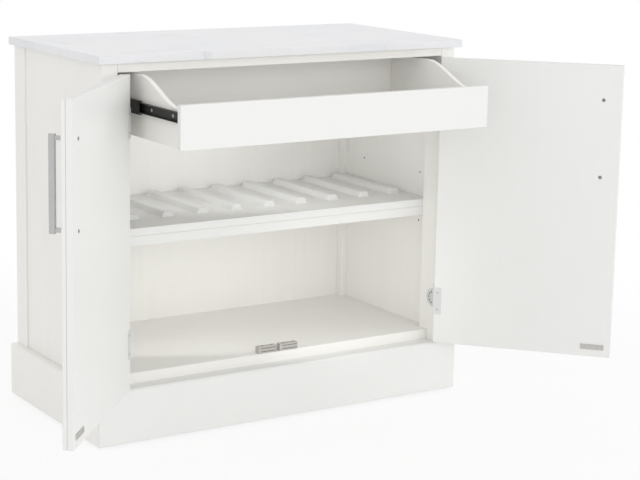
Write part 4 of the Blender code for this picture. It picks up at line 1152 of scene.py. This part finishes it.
@dataclass(frozen=True)
class Catches:
    """The two magnetic catches on the floor, with two magnets and a pole plate in each."""

    finishes: Finishes
    ribs: int = 4
    lid_t: float = 0.5 * MM
    groove_share: float = 0.384
    groove_depth: float = 3.0 * MM
    groove_floor: float = 0.05 * MM
    magnet_depth: float = 0.8 * MM
    plate_depth: float = 1.9 * MM
    from_left: float = 7.2 * MM
    from_right: float = 0.4 * MM
    chamfer_share: float = 0.2
    screw: CrossHeadScrew = CrossHeadScrew(2.6 * MM, 0.7 * MM, sink=0.3 * MM)
    screws_from_ends: tuple[float, float] = (16 * MM, 10 * MM)
    screws_behind: float = 2 * MM
    screw_turn_deg: float = 25.0

    def dress(self) -> None:
        """Plates the steel housings."""
        dress(["left_catch", "right_catch"], self.finishes.strike_steel)

    def build(self) -> None:
        """Adds the magnets and the pole plate in the grooves, and the screws on top."""
        for side in Side:
            node = f"{side.word}_catch"
            low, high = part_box(node)
            top = high[2] - self.lid_t
            pitch = (top - low[2]) / self.ribs
            magnets, plate = bmesh.new(), bmesh.new()
            for number in range(1, self.ribs):
                in_middle = number * 2 == self.ribs
                self._strip(plate if in_middle else magnets, node, low[2] + number * pitch,
                            pitch * self.groove_share,
                            self.plate_depth if in_middle else self.magnet_depth)
            new_piece(f"{side.word}_catch_magnets", magnets, self.finishes.ferrite, CABINET)
            new_piece(f"{side.word}_catch_pole_plate", plate, self.finishes.hinge_nickel,
                      CABINET)
            from_left, from_right = self.screws_from_ends
            depth = middle(node, axis=1) + self.screws_behind
            places = [facing((across, depth, top), Vector((0, 0, 1)), self.screw_turn_deg)
                      for across in (low[0] + from_left, high[0] - from_right)]
            self.screw.fit(f"{side.word}_catch_screws", places, self.finishes.dull_steel,
                           CABINET, Slot.BLACK_STEEL)

    def _strip(self, shape: bmesh.types.BMesh, node: str, height: float, thick: float,
               depth: float) -> None:
        """Adds one strip with a chamfered front, in a groove of the catch.

        Args:
            shape: The shape to add to.
            node: The catch's CAD node.
            height: The height of its middle.
            thick: Its thickness.
            depth: How far it stands out of the groove's floor.
        """
        low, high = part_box(node)
        back, front = (low[1] + self.groove_depth + self.groove_floor,
                       low[1] + self.groove_depth - depth)
        bottom, top = height - thick / 2, height + thick / 2
        chamfer = thick * self.chamfer_share
        section = [(back, bottom), (front + chamfer, bottom), (front, bottom + chamfer),
                   (front, top - chamfer), (front + chamfer, top), (back, top)]
        start = low[0] + self.from_left
        swept([(start, y, z) for y, z in section], (high[0] - self.from_right - start, 0, 0),
              shape)


@dataclass(frozen=True)
class Castors:
    """The four swivel castors behind the plinth."""

    finishes: Finishes

    def dress(self) -> None:
        """Plates the forks and moulds the wheels in rubber."""
        dress([f"{corner}_castor_fork" for corner in CORNERS], self.finishes.bright_zinc)
        dress([f"{corner}_castor_wheel" for corner in CORNERS], self.finishes.rubber)


@dataclass(frozen=True)
class Softbox:
    """One rectangular diffuser that faces the cabinet."""

    name: str
    place: tuple[float, float, float]
    wide: float
    tall: float
    watts: float
    aim: tuple[float, float, float] = (0.0, 0.0, 0.45)
    unseen: bool = False
    spread_deg: float = 180.0

    def build(self) -> None:
        """Hangs the lamp."""
        data = bpy.data.lights.new(self.name, "AREA")
        data.shape, data.size, data.size_y = "RECTANGLE", self.wide, self.tall
        data.energy = self.watts
        data.spread = math.radians(self.spread_deg)
        lamp = bpy.data.objects.new(self.name, data)
        lamp.location = self.place
        lamp.rotation_euler = (Vector(self.aim) - Vector(self.place)).to_track_quat(
            "-Z", "Y").to_euler()
        lamp.visible_camera = lamp.visible_glossy = not self.unseen
        bpy.context.scene.collection.objects.link(lamp)
        LOG.info("lamp %s, %.2f W", self.name, self.watts)


@dataclass(frozen=True)
class Studio:
    """A pale floor and soft light from large diffusers."""

    floor_tone: str = "#FAFAFA"
    floor_roughness: float = 0.75
    floor_radius: float = 6.0
    floor_segments: int = 96
    # The share of plain white that is seen in the floor near the cabinet, and where it
    # starts to grow and is whole.
    floor_white: float = 0.8
    fade_start: float = 0.9
    fade_end: float = 2.2
    ambient: float = 0.84
    lamps: tuple[Softbox, ...] = (
        Softbox("front_softbox", (-0.4, -5.2, 2.1), 4.0, 1.6, 29.0),
        Softbox("low_front_softbox", (-0.6, -5.6, 0.9), 4.0, 1.6, 19.0),
        Softbox("right_softbox", (3.5, -1.6, 0.8), 1.4, 1.4, 15.0, (-0.5, -0.2, 0.45), True),
        Softbox("left_softbox", (-2.4, -1.0, 1.6), 0.8, 0.8, 1.6, (-0.6, -0.1, 0.9), True),
        # Faint diffusers shine into the opening, like reflector cards.
        Softbox("upper_card", (-0.08, 0.04, 0.68), 0.6, 0.09, 0.42, (0.25, 1.0, 0.56), True),
        Softbox("lower_card", (-0.06, -0.05, 0.29), 0.8, 0.2, 0.28, (0.4, 1.0, 0.29), True),
        Softbox("lower_wall_card", (-0.43, 0.12, 0.30), 0.2, 0.22, 0.075,
                (0.47, 0.27, 0.30), True, 60.0),
        Softbox("upper_wall_card", (-0.43, 0.12, 0.66), 0.2, 0.16, 0.07,
                (0.47, 0.27, 0.66), True, 60.0),
    )

    def build(self) -> None:
        """Lays the floor, hangs the lamps and sets the world."""
        self._floor()
        self._world()
        for lamp in self.lamps:
            lamp.build()

    def _floor(self) -> None:
        """A round floor that fades to the white background."""
        shape = bmesh.new()
        bmesh.ops.create_circle(shape, cap_ends=True, radius=self.floor_radius,
                                segments=self.floor_segments)
        floor = as_object("studio_floor", shape)
        material, shader, add, place = start_material("painted_studio_floor")
        set_up(shader, {"Base Color": linear(self.floor_tone),
                        "Roughness": self.floor_roughness}, {})
        reach = add("VectorMath", {"operation": "LENGTH"}, {0: place})
        fade = add("MapRange", {"interpolation_type": "SMOOTHSTEP",
                                **span(self.fade_start, self.fade_end, self.floor_white)},
                   {"Value": (reach, "Value")})
        white = add("Emission", {"Strength": 1.0})
        share = add("Math", {"operation": "MULTIPLY"},
                    {0: (fade, "Result"), 1: self._seen(add)})
        mix = add("MixShader", {},
                  {0: (share, "Value"), 1: (shader, "BSDF"), 2: (white, "Emission")})
        set_up(material.node_tree.nodes["Material Output"], {}, {"Surface": (mix, 0)})
        floor.data.materials.append(material)
        LOG.info("stage %s", floor.name)

    @staticmethod
    def _seen(add: Callable) -> tuple[bpy.types.Node, str]:
        """Where the background is seen, straight or in gloss or glass.

        Args:
            add: The function that adds a node to the tree.

        Returns:
            The node and its output, 1 for a camera, glossy or transmission ray.
        """
        path = add("LightPath")
        either = add("Math", {"operation": "MAXIMUM"},
                     {0: (path, "Is Camera Ray"), 1: (path, "Is Glossy Ray")})
        return add("Math", {"operation": "MAXIMUM"},
                   {0: (either, "Value"), 1: (path, "Is Transmission Ray")}), "Value"

    def _world(self) -> None:
        """White where it is seen, and a soft even light otherwise."""
        world = bpy.data.worlds.new("studio_world")
        world.use_nodes = True
        bpy.context.scene.world = world
        world.node_tree.nodes.clear()
        add = partial(add_node, world.node_tree)
        light, white = (add("Background", {"Color": linear("#FFFFFF"), "Strength": strength})
                        for strength in (self.ambient, 1.0))
        mix = add("MixShader", {}, {0: self._seen(add), 1: (light, 0), 2: (white, 0)})
        add("OutputWorld", {}, {"Surface": (mix, 0)})


@dataclass(frozen=True)
class Camera:
    """The camera that was fitted to the photograph's corners."""

    place: tuple[float, float, float] = (-2.2149, -3.5897, 1.3297)
    yaw_deg: float = 31.605
    pitch_deg: float = 10.385
    roll_deg: float = -0.863
    focal_px: float = 1750.1
    centre_px: tuple[float, float] = (270.0, 190.0)
    frame_px: tuple[float, float] = (640.0, 480.0)
    sensor_mm: float = 36.0

    def build(self) -> None:
        """Sets the scene's camera."""
        yaw, pitch, roll = (math.radians(turn) for turn in
                            (self.yaw_deg, self.pitch_deg, self.roll_deg))
        ahead = Vector((math.sin(yaw) * math.cos(pitch), math.cos(yaw) * math.cos(pitch),
                        -math.sin(pitch)))
        level = Vector((math.cos(yaw), -math.sin(yaw), 0))
        plumb = ahead.cross(level)
        right = math.cos(roll) * level + math.sin(roll) * plumb
        down = -math.sin(roll) * level + math.cos(roll) * plumb
        wide, high = self.frame_px
        data = bpy.data.cameras.new("photo_camera")
        data.sensor_width = self.sensor_mm
        data.lens = self.focal_px / wide * self.sensor_mm
        data.shift_x = (wide / 2 - self.centre_px[0]) / wide
        data.shift_y = (self.centre_px[1] - high / 2) / wide
        camera = bpy.data.objects.new("photo_camera", data)
        camera.matrix_world = standing(right, -down, -ahead, self.place)
        bpy.context.scene.collection.objects.link(camera)
        bpy.context.scene.camera = camera
        LOG.info("camera %s, lens %.1f mm", camera.name, data.lens)


def main() -> None:
    """Builds the camera, the studio and each sub-assembly in order."""
    logging.basicConfig(level=logging.INFO, format="%(message)s")
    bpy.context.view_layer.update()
    bpy.context.scene.view_settings.view_transform = "Standard"
    Camera().build()
    Studio().build()
    finishes = Finishes()
    Worktop(finishes).dress()
    for part in (Carcass(finishes), Door(finishes, Side.LEFT), Door(finishes, Side.RIGHT),
                 Drawer(finishes), Catches(finishes)):
        part.dress()
        part.build()
    Castors(finishes).dress()


if __name__ == "__main__":
    main()
